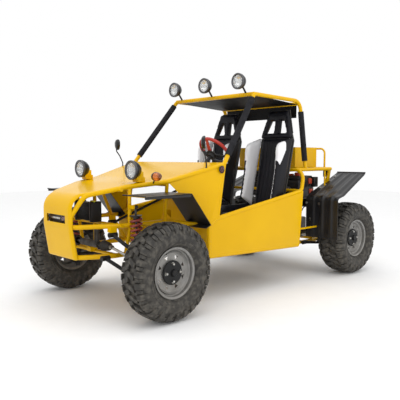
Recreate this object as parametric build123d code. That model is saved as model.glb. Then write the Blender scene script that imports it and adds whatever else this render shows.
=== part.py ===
from build123d import *
import os
from math import asin, atan2, cos, degrees, hypot, pi, radians, sin, sqrt

# Two-seat off-road buggy with a tube frame. Front is -Y, left is +X, the floor is z = 0.
# The origin lies on the floor under the middle of the whole length.

# Driving sizes, in millimetres
overall_length = 2893
wheelbase = 2134
track = 1228
tyre_d = 635
front_tyre_w = 205
rear_tyre_w = 255
body_width = 1100
tube_d = 32
brace_d = 25
sheet_t = 2
seat_gap = 0.3
steer_gap = 6

# Places that follow from them
tyre_r = tyre_d / 2
tube_r = tube_d / 2
rear_axle_y = overall_length / 2 - tyre_r
front_axle_y = rear_axle_y - wheelbase
nose_front_y = -overall_length / 2
wheel_x = track / 2
side_x = body_width / 2
rail_x = side_x - tube_r

# Stations of the frame, front to rear
nose_rail_y = nose_front_y + tube_r
nose_half_w = 160
nose_top_y = -1403
nose_top_z = 750
bonnet_bend_y = -1348
bonnet_bend_z = 795
bonnet_bend_x = 200
bay_x = 325
bay_post_y = -1086
bay_top_z = 849
mid_rail_z = 592
bay_rear_y = -788
scuttle_x = 430
scuttle_y = -850
scuttle_z = 877
cowl_y = -410
cowl_z = 988
body_front_y = -558
body_front_top_z = 565
body_front_low_z = 344
door_front_y = -476
door_front_z = 608
door_rear_y = 530
door_rear_z = 760
body_rear_y = 486
body_rear_low_z = 308
deck_front_y = 563
deck_z = 935
deck_x = 450
deck_rear_y = 1092
low_rail_x = 265
low_rail_z = 392
low_nose_y = -1394
low_front_y = -1180
low_rear_y = -700
roof_front_x = 451
roof_front_y = 11
roof_front_z = 1530
roof_rear_x = 440
roof_rear_y = 619
roof_rear_z = 1516
pillar_foot_y = 700
engine_rail_x = 250
engine_rail_z = 250
engine_rail_drop_y = 640
engine_rail_rear_y = 1230

# Bend radii of the tubes
wide_bend = 90
tight_bend = 45

# Overrun of every cutter past what it cuts
overrun = 10


def mirrored(shape):
    """The same shape on the other side of the middle plane."""
    return mirror(shape, about=Plane.YZ)


def both(shapes):
    """Left-hand shapes with their right-hand twins."""
    return list(shapes) + [mirrored(shape) for shape in shapes]


def pipe(points, diameter, bends=None):
    """Round bar through the points, with an arc at each inner point."""
    path = FilletPolyline(*points, radius=bends) if bends else Polyline(*points)
    section = Plane(origin=path @ 0, z_dir=path % 0) * Circle(diameter / 2)
    return sweep(section, path=path)


def round_bar(start, end, diameter):
    """Straight round bar between two points."""
    axis = Vector(*end) - Vector(*start)
    return Plane(origin=start, z_dir=axis) * extrude(Circle(diameter / 2), axis.length)


def ring_bar(start, end, outer_d, inner_d):
    """Straight sleeve between two points."""
    axis = Vector(*end) - Vector(*start)
    wall = Circle(outer_d / 2) - Circle(inner_d / 2)
    return Plane(origin=start, z_dir=axis) * extrude(wall, axis.length)


def block(x_range, y_range, z_range):
    """Block between two x, two y and two z values."""
    size = [abs(high - low) for low, high in (x_range, y_range, z_range)]
    middle = [(low + high) / 2 for low, high in (x_range, y_range, z_range)]
    return Pos(*middle) * Box(*size)


def plate(corners, thickness, away):
    """Flat plate on a polygon in space, thickened towards the vector away."""
    face = Face(Wire.make_polygon([Vector(*corner) for corner in corners], close=True))
    return extrude(face, amount=thickness, dir=Vector(*away).normalized())


def side_sheet(profile, thickness, x_low, x_high):
    """Bent sheet: a (y, z) line given a thickness below it and drawn out along x."""
    points = [Vector(0, y, z) for y, z in profile]
    under = []
    for index, point in enumerate(points):
        before = points[max(index - 1, 0)]
        after = points[min(index + 1, len(points) - 1)]
        run_in = (point - before).normalized() if index > 0 else (after - point).normalized()
        run_out = (after - point).normalized() if index < len(points) - 1 else run_in
        bisector = (run_in + run_out).normalized()
        normal = Vector(0, bisector.Z, -bisector.Y)
        share = 1 / max(bisector.dot(run_in), 0.5)
        under.append(point + normal * thickness * share)
    outline = Wire.make_polygon(points + under[::-1], close=True)
    return Pos(x_low, 0, 0) * extrude(Face(outline), amount=x_high - x_low, dir=(1, 0, 0))


def joined(shapes):
    """One solid out of shapes that run into each other."""
    return Part() + list(shapes)


def pipes(table, grow=0):
    """Frame made of the rows of a table: points, diameter, bend radii."""
    return [pipe(points, diameter + grow, bends) for points, diameter, bends in table]


def largest(shape, count=1):
    """The shape without the slivers that a cut leaves outside the tubes."""
    return Part() + sorted(shape.solids(), key=lambda solid: -solid.volume)[:count]


parts = {}

# Front frame: nose rails, bonnet rails, posts and cross tubes
# Columns: points, diameter, bend radii
mid_rail = [
    (rail_x, body_front_y, body_front_top_z),
    (bay_x, bay_rear_y, mid_rail_z),
    (bay_x, bay_post_y, mid_rail_z),
    (nose_half_w, nose_rail_y, mid_rail_z),
]
bonnet_rail = [
    (rail_x, cowl_y, cowl_z),
    (scuttle_x, scuttle_y, scuttle_z),
    (bay_x, bay_post_y, bay_top_z),
    (bonnet_bend_x, bonnet_bend_y, bonnet_bend_z),
    (nose_half_w, nose_rail_y, nose_top_z - wide_bend),
    (nose_half_w, nose_rail_y, mid_rail_z),
]
low_rail = [
    (rail_x, body_front_y, body_front_low_z),
    (low_rail_x, low_rear_y, low_rail_z),
    (low_rail_x, low_front_y, low_rail_z),
    (nose_half_w, low_nose_y, low_rail_z),
]


def crossed(points):
    """A left-hand run carried on round to the right-hand side."""
    return list(points) + [(-x, y, z) for x, y, z in reversed(points)]


front_low_post_x = 170
centre_post_y = -1146
rack_brace_y = -1080
bay_cross_z = bay_top_z + 8 - sheet_t - brace_d
scuttle_cross_z = scuttle_z + 8 - sheet_t - brace_d
guard_bar_x = 600
guard_bar_z = 789.6
guard_bar_d = 16
# Columns: points, diameter, bend radii
front_whole = [
    (crossed(mid_rail), tube_d, [wide_bend] * 6),
    (crossed(low_rail), tube_d, [wide_bend] * 6),
]
front_left = [
    (bonnet_rail, tube_d, [wide_bend, wide_bend, wide_bend, tight_bend]),
    ([(bay_x, bay_post_y, mid_rail_z), (bay_x, bay_post_y, bay_top_z)], brace_d, None),
    ([(nose_half_w, nose_rail_y, mid_rail_z), (nose_half_w, low_nose_y, low_rail_z)], brace_d, None),
    ([(low_rail_x, rack_brace_y, low_rail_z), (bay_x, rack_brace_y, mid_rail_z)], brace_d, None),
    ([(low_rail_x, low_rear_y, low_rail_z), (bay_x, bay_rear_y, mid_rail_z)], brace_d, None),
    ([(bay_x, bay_rear_y, mid_rail_z), (scuttle_x, scuttle_y, scuttle_z)], brace_d, None),
    ([(bay_x, bay_post_y, guard_bar_z), (guard_bar_x, bay_post_y, guard_bar_z)], guard_bar_d, None),
]
front_middle = [
    ([(-bay_x, centre_post_y, mid_rail_z), (bay_x, centre_post_y, mid_rail_z)], brace_d, None),
    ([(0, centre_post_y, low_rail_z), (0, centre_post_y, bay_cross_z)], brace_d, None),
    ([(-low_rail_x, centre_post_y, low_rail_z), (low_rail_x, centre_post_y, low_rail_z)], brace_d, None),
    ([(-low_rail_x, low_rear_y, low_rail_z), (low_rail_x, low_rear_y, low_rail_z)], brace_d, None),
    ([(-scuttle_x, scuttle_y, scuttle_cross_z), (scuttle_x, scuttle_y, scuttle_cross_z)], brace_d, None),
    ([(-bay_x, centre_post_y, bay_cross_z), (bay_x, centre_post_y, bay_cross_z)], brace_d, None),
]

# Cabin frame: door frames, floor cross tubes, cowl tube and the hoop behind the seats
door_loop = [
    (rail_x, door_front_y, door_front_z),
    (rail_x, door_rear_y, door_rear_z),
    (rail_x, deck_front_y, deck_z),
]
floor_low = [
    (rail_x, body_front_y, body_front_low_z),
    (rail_x, body_rear_y, body_rear_low_z),
]
floor_slope = (body_rear_low_z - body_front_low_z) / (body_rear_y - body_front_y)
seat_beam_y = -60
seat_beam_z = body_front_low_z + floor_slope * (seat_beam_y - body_front_y)
guard_wall_y = 755
guard_wall_stay_z = 440
cabin_whole = [
    (crossed(door_loop), tube_d, [tight_bend, wide_bend, wide_bend, tight_bend]),
]
cabin_left = [
    ([(rail_x, door_front_y, door_front_z), (rail_x, cowl_y, cowl_z)], tube_d, None),
    ([(rail_x, body_front_y, body_front_low_z), (rail_x, body_front_y, body_front_top_z)], tube_d, None),
    ([(rail_x, body_front_y, body_front_top_z), (rail_x, door_front_y, door_front_z)], tube_d, None),
    (floor_low, tube_d, None),
    ([(rail_x, body_rear_y, body_rear_low_z), (rail_x, door_rear_y, door_rear_z)], tube_d, None),
    ([(rail_x, body_rear_y, guard_wall_stay_z), (rail_x, guard_wall_y - seat_gap, guard_wall_stay_z)],
     guard_bar_d, None),
]
cabin_middle = [
    ([(-rail_x, cowl_y, cowl_z), (rail_x, cowl_y, cowl_z)], tube_d, None),
    ([(-rail_x, body_front_y, body_front_low_z), (rail_x, body_front_y, body_front_low_z)], brace_d, None),
    ([(-rail_x, seat_beam_y, seat_beam_z), (rail_x, seat_beam_y, seat_beam_z)], brace_d, None),
    ([(-rail_x, body_rear_y, body_rear_low_z), (rail_x, body_rear_y, body_rear_low_z)], tube_d, None),
    ([(-rail_x, door_rear_y, door_rear_z), (rail_x, door_rear_y, door_rear_z)], brace_d, None),
]

# Rear frame: deck tubes, engine rails, uprights and the tail tube
upright_y = 1080
stay_d = guard_bar_d
guard_stay_y = 1000
guard_stay_z = 784
engine_beam_front_y = 700
engine_beam_rear_y = 950
rear_left = [
    ([(deck_x, deck_front_y, deck_z), (deck_x, deck_rear_y, deck_z)], tube_d, None),
    ([(engine_rail_x, body_rear_y, body_rear_low_z), (engine_rail_x, engine_rail_drop_y, engine_rail_z),
      (engine_rail_x, engine_rail_rear_y, engine_rail_z)], tube_d, [wide_bend]),
    ([(engine_rail_x, upright_y, engine_rail_z), (deck_x, upright_y, deck_z)], brace_d, None),
    ([(engine_rail_x, engine_rail_rear_y, engine_rail_z), (deck_x, upright_y, deck_z)], brace_d, None),
    ([(deck_x, guard_stay_y, deck_z), (deck_x, guard_stay_y, guard_stay_z)], stay_d, None),
]
box_front_y = 712
box_rear_y = 1040
box_beam_z = deck_z + (tube_d - brace_d) / 2
rear_middle = [
    ([(-deck_x, box_front_y + tube_d, box_beam_z), (deck_x, box_front_y + tube_d, box_beam_z)], brace_d, None),
    ([(-deck_x, guard_stay_y, box_beam_z), (deck_x, guard_stay_y, box_beam_z)], brace_d, None),
    ([(-deck_x, deck_rear_y, deck_z), (deck_x, deck_rear_y, deck_z)], tube_d, None),
    ([(-engine_rail_x, engine_rail_rear_y, engine_rail_z),
      (engine_rail_x, engine_rail_rear_y, engine_rail_z)], tube_d, None),
    ([(-engine_rail_x, engine_beam_front_y, engine_rail_z),
      (engine_rail_x, engine_beam_front_y, engine_rail_z)], brace_d, None),
    ([(-engine_rail_x, engine_beam_rear_y, engine_rail_z),
      (engine_rail_x, engine_beam_rear_y, engine_rail_z)], brace_d, None),
]

# Roll cage: one bent tube each side, two roof tubes between them
cage_loop = [
    (rail_x, cowl_y, cowl_z),
    (roof_front_x, roof_front_y, roof_front_z),
    (roof_rear_x, roof_rear_y, roof_rear_z),
    (deck_x, pillar_foot_y, deck_z),
]
roof_rear_tube_y = roof_rear_y - wide_bend * 0.22
roof_rear_tube_z = roof_rear_z - wide_bend * 0.24
cage_left = [(cage_loop, tube_d, [tight_bend, wide_bend])]
cage_middle = [
    ([(-roof_front_x, roof_front_y, roof_front_z), (roof_front_x, roof_front_y, roof_front_z)], tube_d, None),
    ([(-roof_rear_x, roof_rear_tube_y, roof_rear_tube_z), (roof_rear_x, roof_rear_tube_y, roof_rear_tube_z)],
     tube_d, None),
]


def frame_solids(whole, left, middle, grow=0):
    """Bars of one frame: runs that cross, left-hand runs with their twins, cross tubes."""
    return pipes(whole, grow) + both(pipes(left, grow)) + pipes(middle, grow)


frame_tables = {
    "front_frame": (front_whole, front_left, front_middle),
    "cabin_frame": (cabin_whole, cabin_left, cabin_middle),
    "rear_frame": ([], rear_left, rear_middle),
    "roll_cage": ([], cage_left, cage_middle),
}
room = {name: frame_solids(*table, grow=2 * seat_gap) for name, table in frame_tables.items()}


def clear_of(shape, *names):
    """The shape with room cut for the named frames."""
    return shape - [bar for name in names for bar in room[name]]


# Tow plate behind the tail tube, with a hole for the hitch pin
tow_plate_w = 80
tow_plate_l = 80
tow_plate_t = 12
tow_hole_r = 8
tow_hole_y = engine_rail_rear_y + tow_plate_l - tow_plate_w / 3
tow_plate = block(
    (-tow_plate_w / 2, tow_plate_w / 2), (engine_rail_rear_y, engine_rail_rear_y + tow_plate_l),
    (engine_rail_z - tow_plate_t / 2, engine_rail_z + tow_plate_t / 2)
) - Pos(0, tow_hole_y, engine_rail_z) * Cylinder(tow_hole_r, tow_plate_t * 2)

# Brackets on the front frame: rack stand, arm brackets and shock brackets
rack_y = -1185
rack_z = 450
rack_r = 24
stand_w = 40
upper_front_y = -1202
lower_front_y = -1262
arm_rear_y = -800
arm_d = 25
arm_sleeve_d = 34
arm_sleeve_l = 60
arm_inner_x = low_rail_x + tube_r + arm_sleeve_d / 2 + seat_gap
upper_inner_z = 538
lower_inner_z = low_rail_z
front_shock_head = (378, -1078, 718)
shock_eye_r = 13
shock_eye_l = 28
bracket_t = 8
front_brackets = [
    block((-stand_w / 2, stand_w / 2), (rack_y - rack_r / 2, centre_post_y),
          (low_rail_z, rack_z - rack_r - seat_gap)),
] + both([
    block((arm_inner_x - arm_d / 2, arm_inner_x + arm_d / 2), (arm_rear_y - arm_d, arm_rear_y + arm_d),
          (upper_inner_z + arm_sleeve_d / 2 + seat_gap, mid_rail_z)),
    block((arm_inner_x - arm_d, arm_inner_x + arm_d / 2), (upper_front_y - arm_d, upper_front_y + arm_d),
          (upper_inner_z + arm_sleeve_d / 2 + seat_gap, mid_rail_z)),
    block((low_rail_x - tube_d * 1.5, arm_inner_x - arm_sleeve_d / 2 - seat_gap),
          (lower_front_y - arm_d / 2, lower_front_y + arm_d / 2),
          (low_rail_z - tube_r / 2, low_rail_z + tube_r / 2)),
    block((bay_x, front_shock_head[0] + shock_eye_r),
          (front_shock_head[1] - shock_eye_l / 2 - bracket_t, front_shock_head[1] - shock_eye_l / 2 - seat_gap),
          (front_shock_head[2] - shock_eye_r, front_shock_head[2] + shock_eye_r)),
])
rear_shock_foot = (392, 1190, 292)
rear_shock_head = (405, 1200, 700)
rear_brackets = [tow_plate] + both([
    block((372 - brace_d / 2, rear_shock_head[0] + shock_eye_r),
          (1139, rear_shock_head[1] - shock_eye_l / 2 - 2 * seat_gap),
          (rear_shock_head[2] - shock_eye_r, rear_shock_head[2] + shock_eye_r)),
])
frame_brackets = {"front_frame": front_brackets, "rear_frame": rear_brackets, "roll_cage": []}

# Line of the steering column, and its bracket on the cowl tube
steer_wheel_r = 137
steer_grip_r = 13
steer_wheel_x = 285
steer_wheel_y = -252
steer_wheel_z = 1092
column_tilt = 45
column_length = 340
column_d = 28
column_top = Vector(steer_wheel_x, steer_wheel_y, steer_wheel_z)
column_dir = Vector(0, -cos(radians(column_tilt)), -sin(radians(column_tilt)))

# Each frame is one welded solid; where two frames meet, the later one is cut round the earlier
column_room = round_bar(tuple(column_top), tuple(column_top + column_dir * column_length), column_d + 2 * seat_gap)
column_bracket = block(
    (steer_wheel_x - stand_w / 2, steer_wheel_x + stand_w / 2), (cowl_y, cowl_y + stand_w * 1.6),
    (cowl_z - tube_r / 2, cowl_z + tube_r / 2)) - column_room
parts["cabin_frame"] = joined(frame_solids(*frame_tables["cabin_frame"]) + [column_bracket])
for name, earlier in [
    ("front_frame", ["cabin_frame"]),
    ("rear_frame", ["cabin_frame"]),
    ("roll_cage", ["cabin_frame", "front_frame", "rear_frame"]),
]:
    parts[name] = clear_of(joined(frame_solids(*frame_tables[name]) + frame_brackets[name]), *earlier)

# Bonnet: one sheet from the nose slot up over the bonnet rails to the cowl
skin_rise = 8
slot_half_w = 120
slot_low_z = 616
slot_high_z = 668
bonnet_line = [
    (nose_rail_y - skin_rise, mid_rail_z),
    (nose_rail_y - skin_rise, nose_top_z - wide_bend * 0.7),
    (nose_top_y - skin_rise, nose_top_z + skin_rise),
    (bonnet_bend_y, bonnet_bend_z + skin_rise),
    (bay_post_y, bay_top_z + skin_rise),
    (scuttle_y, scuttle_z + skin_rise),
    (cowl_y, cowl_z + skin_rise),
]
bonnet_plan = [
    (nose_half_w, nose_front_y),
    (nose_half_w, nose_top_y),
    (bonnet_bend_x, bonnet_bend_y),
    (bay_x, bay_post_y),
    (scuttle_x, scuttle_y),
    (rail_x, cowl_y),
]
plan_points = bonnet_plan + [(-x, y) for x, y in reversed(bonnet_plan)]
plan_prism = extrude(make_face(Polyline(*plan_points, close=True)), cowl_z * 2)
slot_cut = block((-slot_half_w, slot_half_w), (nose_front_y - overrun, nose_rail_y), (slot_low_z, slot_high_z))
bonnet = side_sheet(bonnet_line, sheet_t, -rail_x, rail_x) & plan_prism
parts["hood_panel"] = largest(clear_of(bonnet - slot_cut, "front_frame", "cabin_frame", "roll_cage"))

# Nose plate: flat sheet between the mid rail and the low rail
nose_plate_corners = [
    (-nose_half_w, nose_rail_y - skin_rise, mid_rail_z),
    (nose_half_w, nose_rail_y - skin_rise, mid_rail_z),
    (nose_half_w, low_nose_y - skin_rise, low_rail_z),
    (-nose_half_w, low_nose_y - skin_rise, low_rail_z),
]
parts["nose_plate"] = largest(clear_of(plate(nose_plate_corners, sheet_t, (0, 1, 0)), "front_frame"))

# Upper side panels: from the bonnet rail down to the body front, with the strip before the door post
skin_x = side_x - tube_r / 4
upper_corners = [
    (skin_x, cowl_y, cowl_z),
    (skin_x, body_front_y, body_front_top_z),
    (scuttle_x + tube_r / 2, scuttle_y, scuttle_z),
]
strip_corners = [
    (skin_x, cowl_y, cowl_z),
    (skin_x, door_front_y, door_front_z),
    (skin_x, body_front_y, body_front_top_z),
]
upper_panel = joined([
    plate(upper_corners, sheet_t, (-1, 0, 0)),
    plate(strip_corners, sheet_t, (-1, 0, 0)),
])
parts["upper_side_panels"] = largest(clear_of(
    Part() + both([upper_panel]), "cabin_frame", "front_frame", "roll_cage"), 2)

# Side panels: door sill down to the floor rail
side_corners = [
    (skin_x, body_front_y, body_front_top_z),
    (skin_x, door_front_y, door_front_z),
    (skin_x, door_rear_y, door_rear_z),
    (skin_x, body_rear_y, body_rear_low_z),
    (skin_x, body_front_y, body_front_low_z),
]
parts["side_panels"] = largest(clear_of(
    Part() + both([plate(side_corners, sheet_t, (-1, 0, 0))]), "cabin_frame", "front_frame"), 2)

# Floor: one sheet on top of the floor tubes
floor_rise = tube_r + seat_gap
floor_corners = [
    (-rail_x, body_front_y, body_front_low_z + floor_rise),
    (rail_x, body_front_y, body_front_low_z + floor_rise),
    (rail_x, body_rear_y, body_rear_low_z + floor_rise),
    (-rail_x, body_rear_y, body_rear_low_z + floor_rise),
]
parts["floor_pan"] = clear_of(plate(floor_corners, sheet_t, (0, 0, 1)), "cabin_frame", "front_frame")

# Front bulkhead: low wall before the feet, with a raised arch on the driver's side and a hole in it
bulkhead_y = body_front_y - tube_r - seat_gap - sheet_t
arch_x_share = {"inner": 0.02, "inner_top": 0.16, "top": 0.34, "outer": 0.6}
arch_top_z = 742
bulkhead_points = [
    (-rail_x, body_front_low_z + tube_d),
    (-rail_x, body_front_top_z - tube_d),
    (rail_x * arch_x_share["inner"], body_front_top_z - tube_d),
    (rail_x * arch_x_share["inner_top"], arch_top_z - tube_d),
    (rail_x * arch_x_share["top"], arch_top_z),
    (rail_x * arch_x_share["outer"], arch_top_z - tube_d),
    (rail_x, body_front_top_z - tube_d),
    (rail_x, body_front_low_z + tube_d),
]
bulkhead = plate([(x, bulkhead_y, z) for x, z in bulkhead_points], sheet_t, (0, 1, 0))
eye_w = 95
eye_h = 60
eye_x = 100
eye_z = arch_top_z - tube_d * 3
eye = plate(
    [
        (eye_x - eye_w / 2, bulkhead_y - overrun, eye_z),
        (eye_x + eye_w / 2, bulkhead_y - overrun, eye_z),
        (eye_x + eye_w / 2, bulkhead_y - overrun, eye_z - eye_h),
    ],
    sheet_t + 2 * overrun, (0, 1, 0))
parts["front_bulkhead"] = clear_of(bulkhead - eye, "front_frame", "cabin_frame")

# Roof: sheet under the roof tubes, with a valance hanging below the rear tube
valance_drop = 118
roof_corners = [
    (-roof_front_x, roof_front_y, roof_front_z - tube_r / 2),
    (roof_front_x, roof_front_y, roof_front_z - tube_r / 2),
    (roof_rear_x, roof_rear_tube_y, roof_rear_tube_z - tube_r / 2),
    (-roof_rear_x, roof_rear_tube_y, roof_rear_tube_z - tube_r / 2),
]
roof_sheet = plate(roof_corners, sheet_t, (0, 0, -1))
valance_y = roof_rear_tube_y + tube_r + seat_gap
valance = block(
    (-roof_rear_x + tube_d, roof_rear_x - tube_d), (valance_y, valance_y + sheet_t),
    (roof_rear_tube_z - valance_drop, roof_rear_tube_z))
parts["roof_panel"] = clear_of(Part() + [roof_sheet, valance], "roll_cage")

# Foam sleeves on the four pillars
sleeve_wall = 8
sleeve_share = {"front": (0.12, 0.93), "rear": (0.13, 0.85)}
sleeves = []
for side, foot, head in [("front", cage_loop[0], cage_loop[1]), ("rear", cage_loop[3], cage_loop[2])]:
    run = Vector(*head) - Vector(*foot)
    low, high = [Vector(*foot) + run * share for share in sleeve_share[side]]
    sleeves.append(ring_bar(low, high, tube_d + 2 * sleeve_wall, tube_d + 2 * seat_gap))
parts["pillar_sleeves"] = Part() + both(sleeves)

# Wheels: tyre and rim of revolution about the axle
rim_flange_r = 167.5
rim_seat_r = 152
rim_wall = 4
flange_t = 6
bead_gap = seat_gap
disc_t = 4
hub_r = 62
hub_hole_r = 16
spoke_hole_count = 8
spoke_hole_ring_r = 105
spoke_hole_w = 36
shoulder_drop = 40


def spun(profile):
    """Solid of revolution about the X axis from (x, radius) points."""
    face = make_face(Polyline(*[(x, r, 0) for x, r in profile], close=True))
    return revolve(face, axis=Axis.X)


def tyre(width):
    """Tyre out to its lug tips, with beads seated between the rim flanges."""
    bead_x = width * 0.34
    half = [
        (bead_x, rim_seat_r + bead_gap),
        (bead_x, rim_flange_r + flange_t),
        (width * 0.47, rim_flange_r + flange_t * 5),
        (width * 0.5, tyre_r - shoulder_drop * 2),
        (width * 0.48, tyre_r - shoulder_drop),
        (width * 0.41, tyre_r - shoulder_drop * 0.4),
        (width * 0.28, tyre_r - shoulder_drop * 0.07),
        (width * 0.16, tyre_r),
    ]
    return spun(half + [(-x, r) for x, r in reversed(half)])


def rim(width):
    """Pressed steel rim: barrel, two flanges and a disc with triangular holes round the hub."""
    rim_half = width * 0.34 + bead_gap + flange_t
    disc_x = rim_half * 0.45
    profile = [
        (-rim_half, rim_seat_r - rim_wall),
        (-rim_half, rim_flange_r),
        (-rim_half + flange_t, rim_flange_r),
        (-rim_half + flange_t, rim_seat_r),
        (rim_half - flange_t, rim_seat_r),
        (rim_half - flange_t, rim_flange_r),
        (rim_half, rim_flange_r),
        (rim_half, rim_seat_r - rim_wall),
        (disc_x + disc_t, rim_seat_r - rim_wall),
        (disc_x + disc_t * 3, hub_r * 1.2),
        (disc_x + disc_t * 3, hub_hole_r),
        (disc_x + disc_t * 2, hub_hole_r),
        (disc_x + disc_t * 2, hub_r * 1.2),
        (disc_x, rim_seat_r - rim_wall),
    ]
    wheel = spun(profile)
    cutter = Plane.YZ.offset(disc_x - overrun) * Pos(0, spoke_hole_ring_r) * extrude(
        Triangle(a=spoke_hole_w, b=spoke_hole_w, c=spoke_hole_w), overrun * 3)
    holes = [Rot(360 / spoke_hole_count * turn, 0, 0) * cutter for turn in range(spoke_hole_count)]
    return wheel - holes


# Columns: name, side of the car, axle, tyre width
wheel_table = [
    ("front_left", 1, front_axle_y, front_tyre_w),
    ("front_right", -1, front_axle_y, front_tyre_w),
    ("rear_left", 1, rear_axle_y, rear_tyre_w),
    ("rear_right", -1, rear_axle_y, rear_tyre_w),
]
for name, side, axle_y, width in wheel_table:
    place = Pos(wheel_x, axle_y, tyre_r)
    wheel_tyre = place * tyre(width)
    wheel_rim = place * rim(width)
    parts["tyre_" + name] = wheel_tyre if side > 0 else mirrored(wheel_tyre)
    parts["rim_" + name] = wheel_rim if side > 0 else mirrored(wheel_rim)

# Knuckles: upright plate, spindle into the rim, steering arm forward, ball joint bosses
kingpin_x = 478
spindle_r = hub_hole_r - seat_gap
upper_joint_z = 404
lower_joint_z = 246
boss_r = 17
boss_h = 26
steer_arm_y = front_axle_y - 112
steer_arm_z = 352
arm_eye_r = 14
arm_t = 12
carrier_w = 22
brake_r = 95


def disc_place(width):
    """Distance from the wheel's middle plane to the inner face of its disc at the hub."""
    return (width * 0.34 + bead_gap + flange_t) * 0.45 + disc_t * 2


stud_r = 8
stud_h = 20


def knuckle():
    """Upright with ball studs, hub, spindle and steering arm of the left front wheel."""
    hub_face_x = wheel_x + disc_place(front_tyre_w) - seat_gap
    upright = block(
        (kingpin_x - carrier_w / 2, kingpin_x + carrier_w / 2),
        (front_axle_y - boss_r, front_axle_y + boss_r),
        (lower_joint_z + stud_h, upper_joint_z - stud_h))
    stud = Pos(kingpin_x, front_axle_y, (lower_joint_z + upper_joint_z) / 2) * Cylinder(
        stud_r, upper_joint_z - lower_joint_z)
    hub = round_bar((kingpin_x, front_axle_y, tyre_r), (hub_face_x, front_axle_y, tyre_r), hub_r * 1.1)
    spindle = round_bar((kingpin_x, front_axle_y, tyre_r),
                        (hub_face_x + disc_t * 4, front_axle_y, tyre_r), 2 * spindle_r)
    arm = block(
        (kingpin_x - carrier_w / 2, kingpin_x + carrier_w / 2), (steer_arm_y, front_axle_y),
        (steer_arm_z - arm_t / 2, steer_arm_z + arm_t / 2))
    eye = Pos(kingpin_x, steer_arm_y, steer_arm_z) * Cylinder(arm_eye_r, arm_t)
    return joined([upright, stud, hub, spindle, arm, eye])


parts["knuckle_left"] = knuckle()
parts["knuckle_right"] = mirrored(knuckle())

# Front arms: two bent legs each, from sleeves on the frame to a ball joint boss at the knuckle
elbow_x = 405
upper_elbow_y = -1160
lower_elbow_y = -1150
lower_boss_h = 50
shock_beam_x = 395


def boss_at(x, y, z, height):
    return Pos(x, y, z) * Cylinder(boss_r, height)


def sleeve_at(x, y, z):
    return Pos(x, y, z) * Rot(90, 0, 0) * Cylinder(arm_sleeve_d / 2, arm_sleeve_l)


def front_arm(inner_z, outer_z, front_y, elbow_y, height):
    """One arm: front leg with an elbow, straight rear leg, two sleeves and the boss."""
    outer = (kingpin_x, front_axle_y, outer_z)
    elbow_z = outer_z + (inner_z - outer_z) * (kingpin_x - elbow_x) / (kingpin_x - arm_inner_x)
    front_leg = pipe(
        [(arm_inner_x, front_y, inner_z), (elbow_x, elbow_y, elbow_z), outer], arm_d, [tight_bend])
    rear_leg = round_bar((arm_inner_x, arm_rear_y, inner_z), outer, arm_d)
    return [front_leg, rear_leg, boss_at(*outer, height),
            sleeve_at(arm_inner_x, front_y, inner_z), sleeve_at(arm_inner_x, arm_rear_y, inner_z)]


upper_outer_z = upper_joint_z + seat_gap + boss_h / 2
lower_outer_z = lower_joint_z - seat_gap - lower_boss_h / 2
shock_beam_share = (kingpin_x - shock_beam_x) / (kingpin_x - arm_inner_x)
shock_beam_z = lower_outer_z + (lower_inner_z - lower_outer_z) * shock_beam_share
shock_beam_front_y = lower_elbow_y + (kingpin_x - shock_beam_x)
shock_beam_rear_y = front_axle_y + (arm_rear_y - front_axle_y) * shock_beam_share
upper_arm = joined(front_arm(upper_inner_z, upper_outer_z, upper_front_y, upper_elbow_y, boss_h))
lower_arm = joined(
    front_arm(lower_inner_z, lower_outer_z, lower_front_y, lower_elbow_y, lower_boss_h)
    + [round_bar((shock_beam_x, -1125, shock_beam_z), (shock_beam_x, shock_beam_rear_y, shock_beam_z), arm_d)])
parts["front_arms"] = clear_of(Part() + both([upper_arm, lower_arm]), "front_frame")

# Shocks: damper in a coil spring, drawn as eye, spring sleeve and top cap
spring_r = 33
damper_r = 20
cap_h = 14


def shock(foot, head):
    """Coil-over damper from the centre of its lower eye to the centre of its upper eye."""
    axis = Vector(*head) - Vector(*foot)
    length = axis.length
    along = Plane(origin=foot, z_dir=axis)
    spring_low = length * 0.18
    spring_high = length * 0.86
    body = [
        along * extrude(Circle(damper_r * 0.7), length),
        along * (Pos(0, 0, spring_low) * extrude(Circle(spring_r), spring_high - spring_low)),
    ]
    eyes = [Pos(*end) * Rot(90, 0, 0) * Cylinder(shock_eye_r, shock_eye_l) for end in (foot, head)]
    return joined(body + eyes)


front_shock_foot = (shock_beam_x, -1072, shock_beam_z + arm_d / 2 + shock_eye_r + seat_gap)
parts["front_shocks"] = Part() + both([shock(front_shock_foot, front_shock_head)])

# Rear suspension: hub carriers, lower and upper arms, shocks and half shafts
carrier_x = 452
carrier_low_z = 236
carrier_high_z = 400
rear_arm_x = engine_rail_x + tube_r + arm_sleeve_d / 2 + seat_gap
rear_arm_z = engine_rail_z
rear_arm_outer_x = carrier_x - boss_r - seat_gap
rear_arm_front_y = 940
rear_arm_rear_y = 1195
rear_upper_z = 430
rear_lower_arm = joined([
    round_bar((rear_arm_x, rear_arm_front_y, rear_arm_z), (rear_arm_outer_x, rear_axle_y, 246), arm_d),
    round_bar((rear_arm_x, rear_arm_rear_y, rear_arm_z), (rear_arm_outer_x, rear_axle_y, 246), arm_d),
    sleeve_at(rear_arm_x, rear_arm_front_y, rear_arm_z),
    sleeve_at(rear_arm_x, rear_arm_rear_y, rear_arm_z),
    Pos(rear_arm_outer_x, rear_axle_y, 246) * Rot(90, 0, 0) * Cylinder(boss_r, arm_sleeve_l),
])
rear_upper_arm = joined([
    round_bar((310, 1140, rear_upper_z), (rear_arm_outer_x, rear_axle_y, 386), arm_d),
    sleeve_at(310, 1140, rear_upper_z),
    Pos(rear_arm_outer_x, rear_axle_y, 386) * Rot(90, 0, 0) * Cylinder(boss_r, arm_sleeve_l),
])
parts["rear_arms"] = clear_of(Part() + both([rear_lower_arm, rear_upper_arm]), "rear_frame")
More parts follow.
